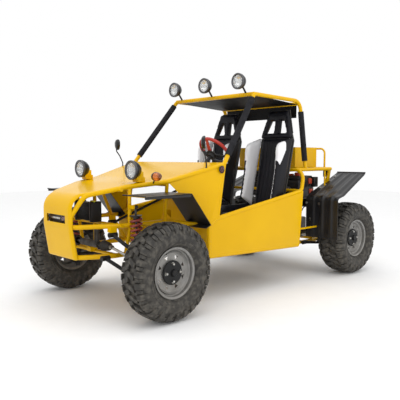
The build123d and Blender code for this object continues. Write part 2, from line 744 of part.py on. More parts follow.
carrier = joined([
    block((carrier_x, carrier_x + carrier_w), (rear_axle_y - tube_d, rear_axle_y + tube_d),
          (carrier_low_z, carrier_high_z)),
    round_bar((carrier_x, rear_axle_y, tyre_r), (carrier_x + carrier_w * 2, rear_axle_y, tyre_r), hub_r),
])
shaft_d = 28
shaft_bore = round_bar((0, rear_axle_y, tyre_r), (wheel_x, rear_axle_y, tyre_r), shaft_d + 2 * seat_gap)
parts["rear_hub_carriers"] = Part() + both([carrier - shaft_bore])
parts["rear_shocks"] = Part() + both([shock(rear_shock_foot, rear_shock_head)])
gearbox_x = 120
boot_r = 38
boot_l = 90
rear_hub_face_x = wheel_x + disc_place(rear_tyre_w) - seat_gap
half_shaft = joined([
    round_bar((gearbox_x + seat_gap, rear_axle_y, tyre_r), (wheel_x, rear_axle_y, tyre_r), shaft_d),
    round_bar((carrier_x + 2 * carrier_w + seat_gap, rear_axle_y, tyre_r),
              (rear_hub_face_x, rear_axle_y, tyre_r), hub_r * 1.1),
    round_bar((wheel_x, rear_axle_y, tyre_r),
              (rear_hub_face_x + disc_t * 4, rear_axle_y, tyre_r), 2 * spindle_r),
    round_bar((gearbox_x + seat_gap, rear_axle_y, tyre_r), (gearbox_x + boot_l, rear_axle_y, tyre_r), 2 * boot_r),
    round_bar((carrier_x - boot_l, rear_axle_y, tyre_r), (carrier_x - seat_gap, rear_axle_y, tyre_r), 2 * boot_r),
])
parts["rear_half_shafts"] = Part() + both([half_shaft])

# Engine: one plain block with its gearbox, on two cross tubes between the rails
engine_blocks = [
    ((-170, 170), (640, 1010), (engine_rail_z + brace_d / 2 + seat_gap, 640)),
    ((-110, 110), (690, 880), (640, 860)),
    ((-gearbox_x, gearbox_x), (1010, 1200), (engine_rail_z + brace_d / 2 + seat_gap, 460)),
]
parts["engine"] = joined([block(*size) for size in engine_blocks])
muffler_r = 62
muffler_y = 1150
muffler_z = 620
muffler_pipe_d = 45
parts["muffler"] = joined([
    Pos(0, muffler_y, muffler_z) * Rot(0, 90, 0) * Cylinder(muffler_r, 460),
    round_bar((0, 880 + seat_gap, 720), (0, muffler_y, 720), muffler_pipe_d),
    round_bar((0, muffler_y, 720), (0, muffler_y, muffler_z), muffler_pipe_d),
])
parts["radiator"] = block(
    (-110, 110), (-1245, centre_post_y - brace_d / 2 - seat_gap), (mid_rail_z + brace_d / 2, 745))

# Steering: rack housing with its pinion tower, and the rods out to the knuckles
rack_half = 105
rack_rod_d = 18
rack_slack = 2
rod_joint_x = 250
pinion_x = 80
pinion_z = 540
tower_d = 36
tower_top_z = 562
tie_eye_z = steer_arm_z + arm_t / 2 + 1 + rack_rod_d / 2
rack_tube = round_bar((-rack_half, rack_y, rack_z), (rack_half, rack_y, rack_z), 2 * rack_r)
rack_bore = round_bar((-kingpin_x, rack_y, rack_z), (kingpin_x, rack_y, rack_z), rack_rod_d + rack_slack)
tower = round_bar((pinion_x, rack_y, rack_z), (pinion_x, rack_y, tower_top_z), tower_d)
tower_room = round_bar((pinion_x, rack_y, rack_z), (pinion_x, rack_y, tower_top_z), tower_d + 2 * seat_gap)
parts["rack_housing"] = joined([rack_tube, tower]) - rack_bore
rack_bar = round_bar((-rod_joint_x, rack_y, rack_z), (rod_joint_x, rack_y, rack_z), rack_rod_d)
tie_rod = joined([
    round_bar((rod_joint_x, rack_y, rack_z), (kingpin_x, steer_arm_y, tie_eye_z), rack_rod_d),
    round_bar((rod_joint_x - rack_rod_d, rack_y, rack_z), (rod_joint_x + rack_rod_d, rack_y, rack_z),
              2 * arm_eye_r),
    Pos(kingpin_x, steer_arm_y, tie_eye_z) * Cylinder(arm_eye_r, rack_rod_d),
])
parts["tie_rods"] = joined([rack_bar] + both([tie_rod]))

# Steering column: tube from the wheel's boss to its foot, then a shaft down to the pinion
wheel_shaft_d = 20
wheel_shaft_end = 190
wheel_boss_d = 50
wheel_disc_d = 86
wheel_dish = 42
spoke_w = 32
spoke_t = 5
column_start = wheel_dish + 30
steer_shaft_d = 18
column_foot = column_top + column_dir * column_length
column_bore = round_bar(tuple(column_top), tuple(column_top + column_dir * (wheel_shaft_end + overrun)),
                        wheel_shaft_d + rack_slack)
parts["steering_column"] = joined([
    round_bar(tuple(column_top + column_dir * column_start), tuple(column_foot), column_d),
    round_bar(tuple(column_foot), (pinion_x, rack_y, pinion_z), steer_shaft_d),
]) - column_bore - tower_room

# Steering wheel: round grip, dished spokes, disc, boss and shaft
wheel_plane = Plane(origin=tuple(column_top), x_dir=(-1, 0, 0), z_dir=tuple(column_dir * -1))
grip_ring = wheel_plane * Torus(steer_wheel_r - steer_grip_r, steer_grip_r)
spoke_run = Vector(steer_wheel_r - steer_grip_r, 0, wheel_dish)
spoke_lean = degrees(atan2(wheel_dish, steer_wheel_r - steer_grip_r))
spokes = [
    wheel_plane * Rot(0, 0, turn) * Pos(spoke_run.X / 2, 0, -wheel_dish / 2) * Rot(0, -spoke_lean, 0)
    * Box(spoke_run.length, spoke_w, spoke_t)
    for turn in (90, 210, 330)
]
disc = round_bar(tuple(column_top + column_dir * (wheel_dish - spoke_t)),
                 tuple(column_top + column_dir * (wheel_dish + spoke_t)), wheel_disc_d)
boss = round_bar(tuple(column_top + column_dir * wheel_dish),
                 tuple(column_top + column_dir * (column_start - spoke_t)), wheel_boss_d)
wheel_shaft = round_bar(tuple(column_top + column_dir * wheel_dish),
                        tuple(column_top + column_dir * wheel_shaft_end), wheel_shaft_d)
parts["steering_wheel"] = joined([grip_ring, disc, boss, wheel_shaft] + spokes)

# Pedals and shift console
under_floor = plate(
    [(x, y, z + sheet_t + seat_gap) for x, y, z in floor_corners], sheet_t * 50, (0, 0, -1))
pedal_x = (200, 300, 400)
parts["pedals"] = Part() + [
    joined([
        block((x - 30, x + 30), (-500, -490), (430, 500)),
        block((x - 8, x + 8), (bulkhead_y + sheet_t + seat_gap, -490), (470, 486)),
    ]) for x in pedal_x
]
floor_z = body_front_low_z + floor_slope * (seat_beam_y - body_front_y) + tube_r
seat_base_low_z = 300
parts["shift_console"] = joined([
    block((-45, 45), (-100, 260), (seat_base_low_z, 560)) - under_floor,
    round_bar((0, 0, 560), (20, -40, 760), 16),
    Pos(20, -40, 770) * Sphere(22),
])

# Seats: bucket seats with side wings and two harness holes
seat_x = 295
back_t = 50
# Columns: height, half width of the back, y of its face
back_table = [
    (560, 150, 330),
    (900, 165, 410),
    (1180, 180, 460),
    (1250, 150, 475),
    (1450, 70, 505),
]


seat_base_w = 240
seat_base_low_z = 300


def seat():
    outline = [(seat_x + w, h) for h, w, y in back_table] + [(seat_x - w, h) for h, w, y in reversed(back_table)]
    face_y = back_table[0][2]
    lean = (back_table[-1][2] - face_y) / (back_table[-1][0] - back_table[0][0])
    corners = [(x, face_y + lean * (z - back_table[0][0]), z) for x, z in outline]
    back = plate(corners, back_t, (0, 1, 0))
    holes = []
    for sign in (-1, 1):
        hole = [(seat_x + sign * 30, 1270), (seat_x + sign * 96, 1270), (seat_x + sign * 30, 1360)]
        corners = [(x, face_y - overrun, z) for x, z in hole]
        holes.append(plate(corners, back_t * 6, (0, 1, 0)))
    wings = []
    for sign in (-1, 1):
        wing = [
            (seat_x + sign * 150, 330, 560), (seat_x + sign * 165, 300, 760),
            (seat_x + sign * 180, 320, 1130), (seat_x + sign * 175, 480, 1200), (seat_x + sign * 150, 360, 640),
        ]
        side_line = [(sign * 150, 560)]
        wings.append(plate(
            [(seat_x + sign * 150, 345, 560), (seat_x + sign * 150, 240, 700), (seat_x + sign * 150, 330, 1130),
             (seat_x + sign * 150, 500, 1200)], 34, (sign, 0, 0)))
    cushion = block((seat_x - 150, seat_x + 150), (-80, 345), (430, 600))
    bolsters = [block((seat_x + sign * 150, seat_x + sign * 195), (-60, 345), (430, 660)) for sign in (-1, 1)]
    base = block((seat_x - seat_base_w / 2, seat_x + seat_base_w / 2), (-40, 280), (seat_base_low_z, 430))
    return joined([back - holes, cushion, base] + bolsters + wings) - under_floor


parts["seat_left"] = seat()
parts["seat_right"] = mirrored(seat())

# Cargo box on the deck tubes, with the hoop behind it
box_x = 330
box_low_z = deck_z + tube_r + seat_gap
box_high_z = 1130
outer_box = block((-box_x, box_x), (box_front_y, box_rear_y), (box_low_z, box_high_z))
inner_box = block(
    (-box_x + sheet_t, box_x - sheet_t), (box_front_y + sheet_t, box_rear_y - sheet_t),
    (box_low_z + sheet_t, box_high_z + overrun))
parts["cargo_box"] = clear_of(outer_box - inner_box, "roll_cage", "rear_frame")

# Mudguards
rear_guard_line = [(755, 340), (755, 700), (852, 722), (1300, 900)]
rear_guard = side_sheet(rear_guard_line, 3, 395, 745)
rear_guard_plan = [(420, 740), (745, 740), (745, 860), (690, 1310), (395, 1310)]
guard_prism = extrude(make_face(Polyline(*rear_guard_plan, close=True)), 1000)
parts["rear_mudguards"] = clear_of(Part() + both([rear_guard & guard_prism]), "cabin_frame", "rear_frame")
front_guard_line = [(-1178, 800), (-798, 805), (-618, 580), (-668, 560)]
front_guard = side_sheet(front_guard_line, 3, 375, 620)
parts["front_mudguards"] = clear_of(
    Part() + both([front_guard]), "cabin_frame", "front_frame") - [
    plate([(x + (3 if x > 0 else -3) * 0, y, z) for x, y, z in upper_corners], 8, (-1, 0, 0)),
]

# Lamps
roof_lamp_r = 62
nose_lamp_r = 65
lamp_depth = 75
lamp_rim_t = 22
lamp_foot_d = 16
roof_lamp_y = -100
roof_lamp_z = 1623
roof_lamp_x = 373
nose_lamp_x = 319
nose_lamp_y = -1074
nose_lamp_z = 957


def lamp(radius, x, y, z, foot):
    """Round lamp facing the front, on a stem to its foot."""
    bowl = revolve(make_face(Polyline(
        (0, 0), (radius, 0), (radius, lamp_rim_t), (radius * 0.5, lamp_depth), (0, lamp_depth),
        close=True)), axis=Axis.Y)
    middle_y = y + lamp_depth / 2
    return joined([Pos(x, y, z) * bowl, round_bar((x, middle_y, z), foot, lamp_foot_d)])


parts["roof_lamps"] = clear_of(Part() + [
    lamp(roof_lamp_r, x, roof_lamp_y, roof_lamp_z, (x, roof_front_y, roof_front_z))
    for x in (-roof_lamp_x, 0, roof_lamp_x)], "roll_cage")
bonnet_room = side_sheet([(y, z + seat_gap) for y, z in bonnet_line[2:]], sheet_t * 50, -rail_x, rail_x)
parts["nose_lamps"] = Part() + [
    lamp(nose_lamp_r, x, nose_lamp_y, nose_lamp_z, (x, nose_lamp_y + lamp_depth, bay_top_z)) - bonnet_room
    for x in (-nose_lamp_x, nose_lamp_x)]
signal_y = -960
signal = joined([Pos(450, signal_y, 915) * Sphere(24),
                 round_bar((450, signal_y, 915), (scuttle_x - 34, scuttle_y - 110, scuttle_z - 12), 10)])
tail_lamp = block((380, 440), (deck_rear_y - 15, deck_rear_y + 15), (860, deck_z - tube_r - seat_gap))
parts["signal_lamps"] = clear_of(Part() + both([signal, tail_lamp]), "front_frame", "rear_frame") - bonnet_room
mirror_foot_share = 0.32
mirror_foot = Vector(*bonnet_rail[0]) + (Vector(*bonnet_rail[1]) - Vector(*bonnet_rail[0])) * mirror_foot_share
parts["mirrors"] = clear_of(Part() + both([
    joined([
        round_bar(tuple(mirror_foot), (mirror_foot.X + 15, mirror_foot.Y - 40, 1100), 10),
        Pos(mirror_foot.X + 15, mirror_foot.Y - 40, 1145) * Box(80, 16, 100),
    ])
]), "front_frame", "cabin_frame")

# Write one file for each piece
os.makedirs("parts", exist_ok=True)
for name, shape in parts.items():
    export_step(shape, os.path.join("parts", name + ".step"))
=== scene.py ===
import math

import bmesh
import bpy
from mathutils import Matrix, Vector
from mathutils.geometry import tessellate_polygon


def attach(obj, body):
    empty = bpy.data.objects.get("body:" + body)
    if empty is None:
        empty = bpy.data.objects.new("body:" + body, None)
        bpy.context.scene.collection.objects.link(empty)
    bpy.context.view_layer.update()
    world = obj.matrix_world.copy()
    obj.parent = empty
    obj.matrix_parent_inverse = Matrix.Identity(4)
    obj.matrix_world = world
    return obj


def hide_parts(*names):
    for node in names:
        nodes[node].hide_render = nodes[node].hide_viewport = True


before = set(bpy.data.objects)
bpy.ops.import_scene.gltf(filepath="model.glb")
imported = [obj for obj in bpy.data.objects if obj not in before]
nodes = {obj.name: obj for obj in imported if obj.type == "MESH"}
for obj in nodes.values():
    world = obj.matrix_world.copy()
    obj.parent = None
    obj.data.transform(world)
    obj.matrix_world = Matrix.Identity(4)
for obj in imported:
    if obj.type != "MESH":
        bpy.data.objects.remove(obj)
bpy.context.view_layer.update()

# Studio: a pale floor under soft sky light, with one broad lamp overhead and one high on the left.
# The camera stands where the photographer stood, a little above the bonnet, off the left front corner.
camera_place = Vector((3.1737, -3.1557, 1.0442))
camera_azimuth, camera_drop = math.radians(46.424), math.radians(4.636)
camera_data = bpy.data.cameras.new("camera")
camera_data.lens = 47.88
camera_data.sensor_width = 36.0
camera_data.clip_start = 0.05
camera = bpy.data.objects.new("camera", camera_data)
bpy.context.scene.collection.objects.link(camera)
camera.location = camera_place
camera_back = Vector((math.sin(camera_azimuth) * math.cos(camera_drop),
                      -math.cos(camera_azimuth) * math.cos(camera_drop), math.sin(camera_drop)))
camera.rotation_mode = "QUATERNION"
camera.rotation_quaternion = (-camera_back).to_track_quat("-Z", "Y")
bpy.context.scene.camera = camera

world = bpy.data.worlds.new("sky")
bpy.context.scene.world = world
world.use_nodes = True
world.node_tree.nodes["Background"].inputs["Color"].default_value = (1.0, 1.0, 1.0, 1)
world.node_tree.nodes["Background"].inputs["Strength"].default_value = 1.0
bpy.context.scene.view_settings.view_transform = "Standard"


def lamp_panel(name, place, target, width, watts):
    """Square area lamp that faces the target."""
    data = bpy.data.lights.new(name, "AREA")
    data.size = width
    data.energy = watts
    lamp = bpy.data.objects.new(name, data)
    bpy.context.scene.collection.objects.link(lamp)
    lamp.location = place
    lamp.rotation_mode = "QUATERNION"
    lamp.rotation_quaternion = (Vector(target) - Vector(place)).to_track_quat("-Z", "Y")


studio_aim = (0, 0, 0.6)
lamp_panel("sky_panel", place=(0.6, -1.4, 5.0), target=studio_aim, width=5.0, watts=75)
lamp_panel("left_panel", place=(5.5, 0.5, 3.0), target=studio_aim, width=4.0, watts=35)


def add_mesh(name, verts, faces, material=None, smooth=True):
    """A mesh object in the car's own frame."""
    mesh = bpy.data.meshes.new(name)
    mesh.from_pydata([tuple(v) for v in verts], [], faces)
    mesh.validate()
    mesh.update()
    obj = bpy.data.objects.new(name, mesh)
    bpy.context.scene.collection.objects.link(obj)
    if material:
        mesh.materials.append(material)
    if smooth:
        mesh.polygons.foreach_set("use_smooth", [True] * len(mesh.polygons))
    return obj


def add_node(tree, kind, values=None, **settings):
    """A new node of that kind, with these settings and these values in its sockets."""
    node = tree.nodes.new(kind)
    for setting, value in settings.items():
        setattr(node, setting, value)
    for socket, value in (values or {}).items():
        node.inputs[socket].default_value = value
    return node


def link_nodes(tree, *links):
    """Links nodes, each link as (node, its output, next node, its input)."""
    for node, output, next_node, socket in links:
        tree.links.new(node.outputs[output], next_node.inputs[socket])


def finish_node(name, base, rough, metallic=0.0, spots=None, spot_scale=8.0, spot_share=0.5, spot_edge=0.2,
                grain_scale=350.0, grain=0.05, coat=0.0, coat_rough=0.1, rough_swing=0.1, dust=None,
                dust_top=0.55, dust_share=0.5, dust_scale=26.0, bump_distance=0.001, specular=0.5):
    """Material with cloudy colour, uneven gloss, fine grain and dust that thins out with height."""
    mat = bpy.data.materials.new(name)
    mat.use_nodes = True
    tree = mat.node_tree
    shader = tree.nodes["Principled BSDF"]
    shader.inputs["Metallic"].default_value = metallic
    shader.inputs["Coat Weight"].default_value = coat
    shader.inputs["Coat Roughness"].default_value = coat_rough
    shader.inputs["Specular IOR Level"].default_value = specular
    place = add_node(tree, "ShaderNodeTexCoord")
    cloud = add_node(tree, "ShaderNodeTexNoise", {"Scale": spot_scale, "Detail": 6.0})
    ramp = add_node(tree, "ShaderNodeValToRGB")
    stops = ramp.color_ramp.elements
    stops[0].position, stops[1].position = max(0.0, spot_share - spot_edge), min(1.0, spot_share + spot_edge)
    stops[0].color, stops[1].color = (*base, 1), (*(spots or base), 1)
    gloss = add_node(tree, "ShaderNodeMapRange", {"To Min": max(0.02, rough - rough_swing),
                                                  "To Max": min(1.0, rough + rough_swing)})
    fine = add_node(tree, "ShaderNodeTexNoise", {"Scale": grain_scale, "Detail": 4.0})
    bump = add_node(tree, "ShaderNodeBump", {"Strength": grain, "Distance": bump_distance})
    link_nodes(tree, (place, "Object", cloud, "Vector"), (cloud, "Fac", ramp, "Fac"),
               (cloud, "Fac", gloss, "Value"), (gloss, "Result", shader, "Roughness"),
               (place, "Object", fine, "Vector"), (fine, "Fac", bump, "Height"),
               (bump, "Normal", shader, "Normal"), (ramp, "Color", shader, "Base Color"))
    if dust:
        split = add_node(tree, "ShaderNodeSeparateXYZ")
        fall = add_node(tree, "ShaderNodeMapRange", {"From Min": dust_top, "From Max": 0.0,
                                                     "To Max": dust_share})
        patch = add_node(tree, "ShaderNodeTexNoise", {"Scale": dust_scale, "Detail": 8.0})
        share = add_node(tree, "ShaderNodeMath", operation="MULTIPLY")
        mix = add_node(tree, "ShaderNodeMix", {7: (*dust, 1)}, data_type="RGBA")
        link_nodes(tree, (place, "Object", split, "Vector"), (split, "Z", fall, "Value"),
                   (place, "Object", patch, "Vector"), (fall, "Result", share, 0), (patch, "Fac", share, 1),
                   (share, "Value", mix, "Factor"), (ramp, "Color", mix, 6), (mix, 2, shader, "Base Color"))
    return mat


def dress(material, *names):
    """Gives these parts of the frame the material all over."""
    for name in names:
        for place in nodes[name].material_slots:
            place.material = material


floor_paint = finish_node("floor_paint", (0.93, 0.93, 0.93), 0.85, spots=(0.95, 0.95, 0.95), grain=0.0)
floor_half, floor_drop = 12.0, 0.001
floor_corners = [(-floor_half, -floor_half, 0), (floor_half, -floor_half, 0),
                 (floor_half, floor_half, 0), (-floor_half, floor_half, 0)]
floor = add_mesh("floor", floor_corners, [(0, 1, 2, 3)], floor_paint)
floor.location.z = -floor_drop

# Tube frame and sheet panels: welded steel tube and 2 mm sheet under one thick coat of yellow enamel.
# The enamel is glossy with slight orange peel, and road dust lies on the low parts.
road_dust = (0.20, 0.155, 0.10)
yellow_enamel = finish_node("yellow_enamel", (0.79, 0.458, 0.0005), 0.24, spots=(0.73, 0.410, 0.0004),
                            spot_scale=3.0, grain_scale=55.0, grain=0.03, dust=road_dust, dust_top=0.42,
                            dust_share=0.30, specular=0.15)
dress(yellow_enamel, "front_frame", "cabin_frame", "rear_frame", "roll_cage", "upper_side_panels",
      "side_panels", "front_bulkhead", "cargo_box")
floor_enamel = finish_node("floor_enamel", (0.10, 0.085, 0.06), 0.7, spots=(0.17, 0.13, 0.08),
                           spot_scale=12.0, grain_scale=180.0, grain=0.2)
dress(floor_enamel, "floor_pan")

# Roof and foam sleeves: the roof is a black pressed sheet that lies on the cage's top tubes.
# Slit tubes of soft foam wrap the four pillars.
roof_black = finish_node("roof_black", (0.006, 0.006, 0.007), 0.55, specular=0.15,
                         spots=(0.012, 0.012, 0.012), spot_scale=9.0, grain_scale=160.0, grain=0.15)
sleeve_foam = finish_node("sleeve_foam", (0.012, 0.012, 0.014), 0.9, spots=(0.026, 0.026, 0.030),
                          spot_scale=30.0, grain_scale=420.0, grain=0.5, specular=0.15)
dress(roof_black, "roof_panel")
dress(sleeve_foam, "pillar_sleeves")

# Plain mechanical parts: black arms, column, pedals and muffler, bare castings, zinc rods and shafts.
# The arms are welded tube in dusty black paint, and the castings and rods have worn, uneven gloss.
arm_black = finish_node("arm_black", (0.007, 0.007, 0.008), 0.40, spots=(0.013, 0.012, 0.011),
                        spot_scale=20.0, grain_scale=120.0, grain=0.08, dust=road_dust, dust_top=0.6,
                        dust_share=0.08, specular=0.25)
bare_casting = finish_node("bare_casting", (0.10, 0.095, 0.09), 0.55, metallic=0.7,
                           spots=(0.05, 0.045, 0.04), spot_scale=24.0, grain_scale=240.0, grain=0.35)
zinc_plate = finish_node("zinc_plate", (0.55, 0.55, 0.53), 0.32, metallic=1.0, spots=(0.42, 0.40, 0.36),
                         spot_scale=40.0, grain_scale=300.0, grain=0.1)
dress(arm_black, "front_arms", "rear_arms", "steering_column", "pedals", "muffler")
dress(bare_casting, "knuckle_left", "knuckle_right", "rear_hub_carriers", "rack_housing")
dress(zinc_plate, "tie_rods", "rear_half_shafts")

# Tyres: tubeless knobbly tyres in dusty grey rubber, wider at the back. In each tread pitch one half has
# a block on the crown, a long and a short one on the shoulder, and the other half follows half a pitch on.
tread_count = 26
wheel_radius, rubber_limit = 0.3175, 0.3174
wheel_out, wheel_up = 0.614, wheel_radius
front_axle, rear_axle = -1.005, 1.129
front_width, rear_width = 0.205, 0.255
tread_pitch = math.tau * wheel_radius / tread_count
casing_segments = 104
# Half section of a tyre, over the crown, down the wall and inside: (share of the width, radius).
crown_share = [(0.0, 0.3015), (0.10, 0.3012), (0.20, 0.3000), (0.29, 0.2965), (0.37, 0.2890),
               (0.43, 0.2770), (0.463, 0.2610), (0.480, 0.2430)]
wall_share = [(0.486, 0.2250), (0.478, 0.2060), (0.450, 0.1900), (0.405, 0.1800), (0.362, 0.1760),
              (0.345, 0.1710), (0.338, 0.1660), (0.336, 0.1540)]
inner_share = [(0.330, 0.1525), (0.26, 0.1560), (0.0, 0.1600)]
# Stations of each block: (share of the width across, distance along, half length, height).
block_height = 0.0159
block_shares = [
    [(-0.03, 0.0, 0.015, block_height), (0.06, 0.006, 0.018, block_height),
     (0.15, 0.017, 0.018, block_height), (0.25, 0.026, 0.014, block_height)],
    [(0.29, 0.000, 0.020, block_height), (0.36, 0.002, 0.022, block_height), (0.44, 0.003, 0.022, 0.0135),
     (0.52, 0.004, 0.020, 0.0105), (0.60, 0.004, 0.015, 0.006)],
    [(0.30, 0.036, 0.010, 0.0125), (0.38, 0.038, 0.012, 0.0120), (0.47, 0.039, 0.011, 0.008)],
]
block_foot_share, block_top_share, block_sink = 1.12, 0.9, 0.002
# Rings moulded on the wall: (radius, share of the width, height).
wall_ring_shares = [(0.214, 0.484, 0.0016), (0.196, 0.462, 0.0014)]
wall_ring_half, wall_ring_sink = 0.003, 0.001


class Lump:
    """Gathers pieces of mesh, each with its own finish, into one object."""

    def __init__(self):
        self.verts, self.faces, self.finishes = [], [], []

    def add(self, verts, faces, finish=0):
        """Takes in a piece of mesh, whose faces count from its own first point."""
        start = len(self.verts)
        self.verts += [Vector(v) for v in verts]
        self.faces += [tuple(start + i for i in face) for face in faces]
        self.finishes += [finish] * len(faces)

    def absorb(self, obj, finish=0):
        """Takes in the object's mesh and deletes the object."""
        self.add([v.co for v in obj.data.vertices], [tuple(p.vertices) for p in obj.data.polygons], finish)
        bpy.data.objects.remove(obj)

    def place(self, name, materials, body="chassis", slot=None, smooth_angle=35, weld=True):
        """Makes the object, welds its doubles and turns its faces outwards, and lets it ride."""
        obj = add_mesh(name, self.verts, self.faces, smooth=False)
        for material in materials:
            obj.data.materials.append(material)
        if len(obj.data.polygons) == len(self.finishes):
            obj.data.polygons.foreach_set("material_index", self.finishes)
        if weld:
            cleaner = bmesh.new()
            cleaner.from_mesh(obj.data)
            bmesh.ops.remove_doubles(cleaner, verts=cleaner.verts, dist=1e-6)
            bmesh.ops.recalc_face_normals(cleaner, faces=cleaner.faces)
            cleaner.to_mesh(obj.data)
            cleaner.free()
        obj.data.polygons.foreach_set("use_smooth", [True] * len(obj.data.polygons))
        obj.data.set_sharp_from_angle(angle=math.radians(smooth_angle))
        if body:
            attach(obj, body)
        return obj


def turned(profile, place, segments=48, closed=False):
    """Solid of revolution: (radius, height) points about the place matrix's own Z axis."""
    verts, faces = [], []
    for radius, height in profile:
        for step in range(segments):
            angle = math.tau * step / segments
            verts.append(place @ Vector((radius * math.cos(angle), radius * math.sin(angle), height)))
    last = len(profile) - 1
    for low, high in [(ring, ring + 1) for ring in range(last)] + ([(last, 0)] if closed else []):
        for step in range(segments):
            after = (step + 1) % segments
            faces.append((low * segments + step, low * segments + after,
                          high * segments + after, high * segments + step))
    return verts, faces


def shifted(profile, level):
    """The same (radius, height) points further along their axis."""
    return [(radius, level + height) for radius, height in profile]


def along_x(x, y, z, side=1):
    """Matrix whose Z axis points to the side (+X for 1) at that point."""
    return Matrix.Translation((x, y, z)) @ Matrix.Rotation(math.pi / 2 * side, 4, "Y")


def baked(obj):
    """The object with its modifiers turned into plain mesh."""
    bpy.context.view_layer.update()
    mesh = bpy.data.meshes.new_from_object(obj.evaluated_get(bpy.context.evaluated_depsgraph_get()))
    obj.modifiers.clear()
    obj.data = mesh
    return obj


def geometry_tree(name, inputs):
    """Geometry Nodes tree with a mesh in and out and the named inputs, and its two end nodes."""
    tree = bpy.data.node_groups.new(name, "GeometryNodeTree")
    tree.interface.new_socket(name="Geometry", in_out="INPUT", socket_type="NodeSocketGeometry")
    for label, kind in inputs.items():
        tree.interface.new_socket(name=label, in_out="INPUT", socket_type="NodeSocket" + kind)
    tree.interface.new_socket(name="Geometry", in_out="OUTPUT", socket_type="NodeSocketGeometry")
    return tree, add_node(tree, "NodeGroupInput"), add_node(tree, "NodeGroupOutput")


def remade(obj, tree, values):
    """The object as the tree makes it with these values for its inputs, in plain mesh."""
    modifier = obj.modifiers.new(tree.name, "NODES")
    modifier.node_group = tree
    for item in tree.interface.items_tree:
        if item.in_out == "INPUT" and item.name in values:
            modifier[item.identifier] = values[item.name]
    return baked(obj)


def ring_tree():
    """Geometry Nodes tree that repeats its mesh round an axle that runs along X."""
    tree, given, made = geometry_tree("repeat_round_axle", {"Count": "Int", "Axle": "Vector",
                                                            "Finish": "Material"})
    points = add_node(tree, "GeometryNodePoints")
    index = add_node(tree, "GeometryNodeInputIndex")
    turn = add_node(tree, "ShaderNodeMath", {0: math.tau}, operation="DIVIDE")
    angle = add_node(tree, "ShaderNodeMath", operation="MULTIPLY")
    spin = add_node(tree, "ShaderNodeCombineXYZ")
    copies = add_node(tree, "GeometryNodeInstanceOnPoints")
    realize = add_node(tree, "GeometryNodeRealizeInstances")
    finish = add_node(tree, "GeometryNodeSetMaterial")
    link_nodes(tree, (given, "Count", points, "Count"), (given, "Axle", points, "Position"),
               (given, "Count", turn, 1), (index, 0, angle, 0), (turn, 0, angle, 1), (angle, 0, spin, "X"),
               (points, 0, copies, "Points"), (given, "Geometry", copies, "Instance"),
               (spin, 0, copies, "Rotation"), (copies, 0, realize, 0), (realize, 0, finish, "Geometry"),
               (given, "Finish", finish, "Material"), (finish, 0, made, 0))
    return tree


def repeated_round(name, verts, faces, count, axle, finish):
    """The mesh, given about an axle through the origin, repeated round an axle through that point."""
    obj = add_mesh(name, verts, faces, finish, smooth=False)
    tree = bpy.data.node_groups.get("repeat_round_axle") or ring_tree()
    return remade(obj, tree, {"Count": count, "Axle": tuple(axle), "Finish": finish})


def crown_point(width, across, height):
    """Point (x, radius) on the tread at a distance across from its middle, raised by height."""
    side = -1 if across < 0 else 1
    left = abs(across)
    line = [(share * width, radius) for share, radius in crown_share]
    for (x0, r0), (x1, r1) in zip(line, line[1:]):
        length = math.hypot(x1 - x0, r1 - r0)
        if left <= length or (x1, r1) == line[-1]:
            share = min(left / length, 1.0)
            normal = ((r0 - r1) / length, (x1 - x0) / length)
            return (side * (x0 + (x1 - x0) * share + normal[0] * height),
                    min(r0 + (r1 - r0) * share + normal[1] * height, rubber_limit))
        left -= length


def tread_block(width, stations):
    """One rubber block: (across, along, half length, height) stations joined into a closed solid."""
    verts, faces = [], []
    for across, along, half, height in stations:
        for share, rise in ((-block_foot_share, -block_sink), (-block_top_share, height),
                            (block_top_share, height), (block_foot_share, -block_sink)):
            x, radius = crown_point(width, across, rise)
            angle = (along + share * half) / wheel_radius
            verts.append(Vector((x, -radius * math.sin(angle), radius * math.cos(angle))))
    for row in range(len(stations) - 1):
        for column in range(3):
            a = row * 4 + column
            faces.append((a, a + 1, a + 5, a + 4))
    last = (len(stations) - 1) * 4
    faces += [(3, 2, 1, 0), (last, last + 1, last + 2, last + 3)]
    return verts, faces


tyre_rubber = finish_node("tyre_rubber", (0.018, 0.0175, 0.017), 0.64, spots=(0.090, 0.083, 0.071),
                          spot_scale=34.0, spot_share=0.56, spot_edge=0.12, grain_scale=260.0, grain=0.35,
                          dust=(0.15, 0.13, 0.10), dust_top=1.2, dust_share=0.36, specular=0.38)
tyre_wheels = [("front_left", 1, front_axle, front_width), ("front_right", -1, front_axle, front_width),
               ("rear_left", 1, rear_axle, rear_width), ("rear_right", -1, rear_axle, rear_width)]
for name, side, axle_y, width in tyre_wheels:
    axle = (wheel_out * side, axle_y, wheel_up)
    pitch_lump = Lump()
    for block in block_shares:
        stations = [(share * width, along, half, height) for share, along, half, height in block]
        pitch_lump.add(*tread_block(width, stations))
        other = [(-across, along + tread_pitch / 2, half, height) for across, along, half, height in stations]
        verts, faces = tread_block(width, other)
        pitch_lump.add(verts, [tuple(reversed(face)) for face in faces])
    line = [(radius, share * width) for share, radius in crown_share + wall_share + inner_share]
    line += [(radius, -x) for radius, x in reversed(line[1:-1])]
    casing = Lump()
    casing.add(*turned(line, along_x(*axle, side), casing_segments, closed=True))
    casing.absorb(repeated_round("tread_" + name, pitch_lump.verts, pitch_lump.faces, tread_count, axle,
                                 tyre_rubber))
    for radius, share, height in wall_ring_shares:
        for edge in (-1, 1):
            foot, top = edge * (share * width - wall_ring_sink), edge * (share * width + height)
            casing.add(*turned([(radius - wall_ring_half, foot), (radius - wall_ring_half / 2, top),
                                (radius + wall_ring_half / 2, top), (radius + wall_ring_half, foot)],
                               along_x(*axle, side), casing_segments))
    whole_tyre = casing.place("tyre_" + name + "_rubber", [tyre_rubber], body="wheel_" + name,
                              slot="tyre_rubber", smooth_angle=30)
    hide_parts("tyre_" + name)

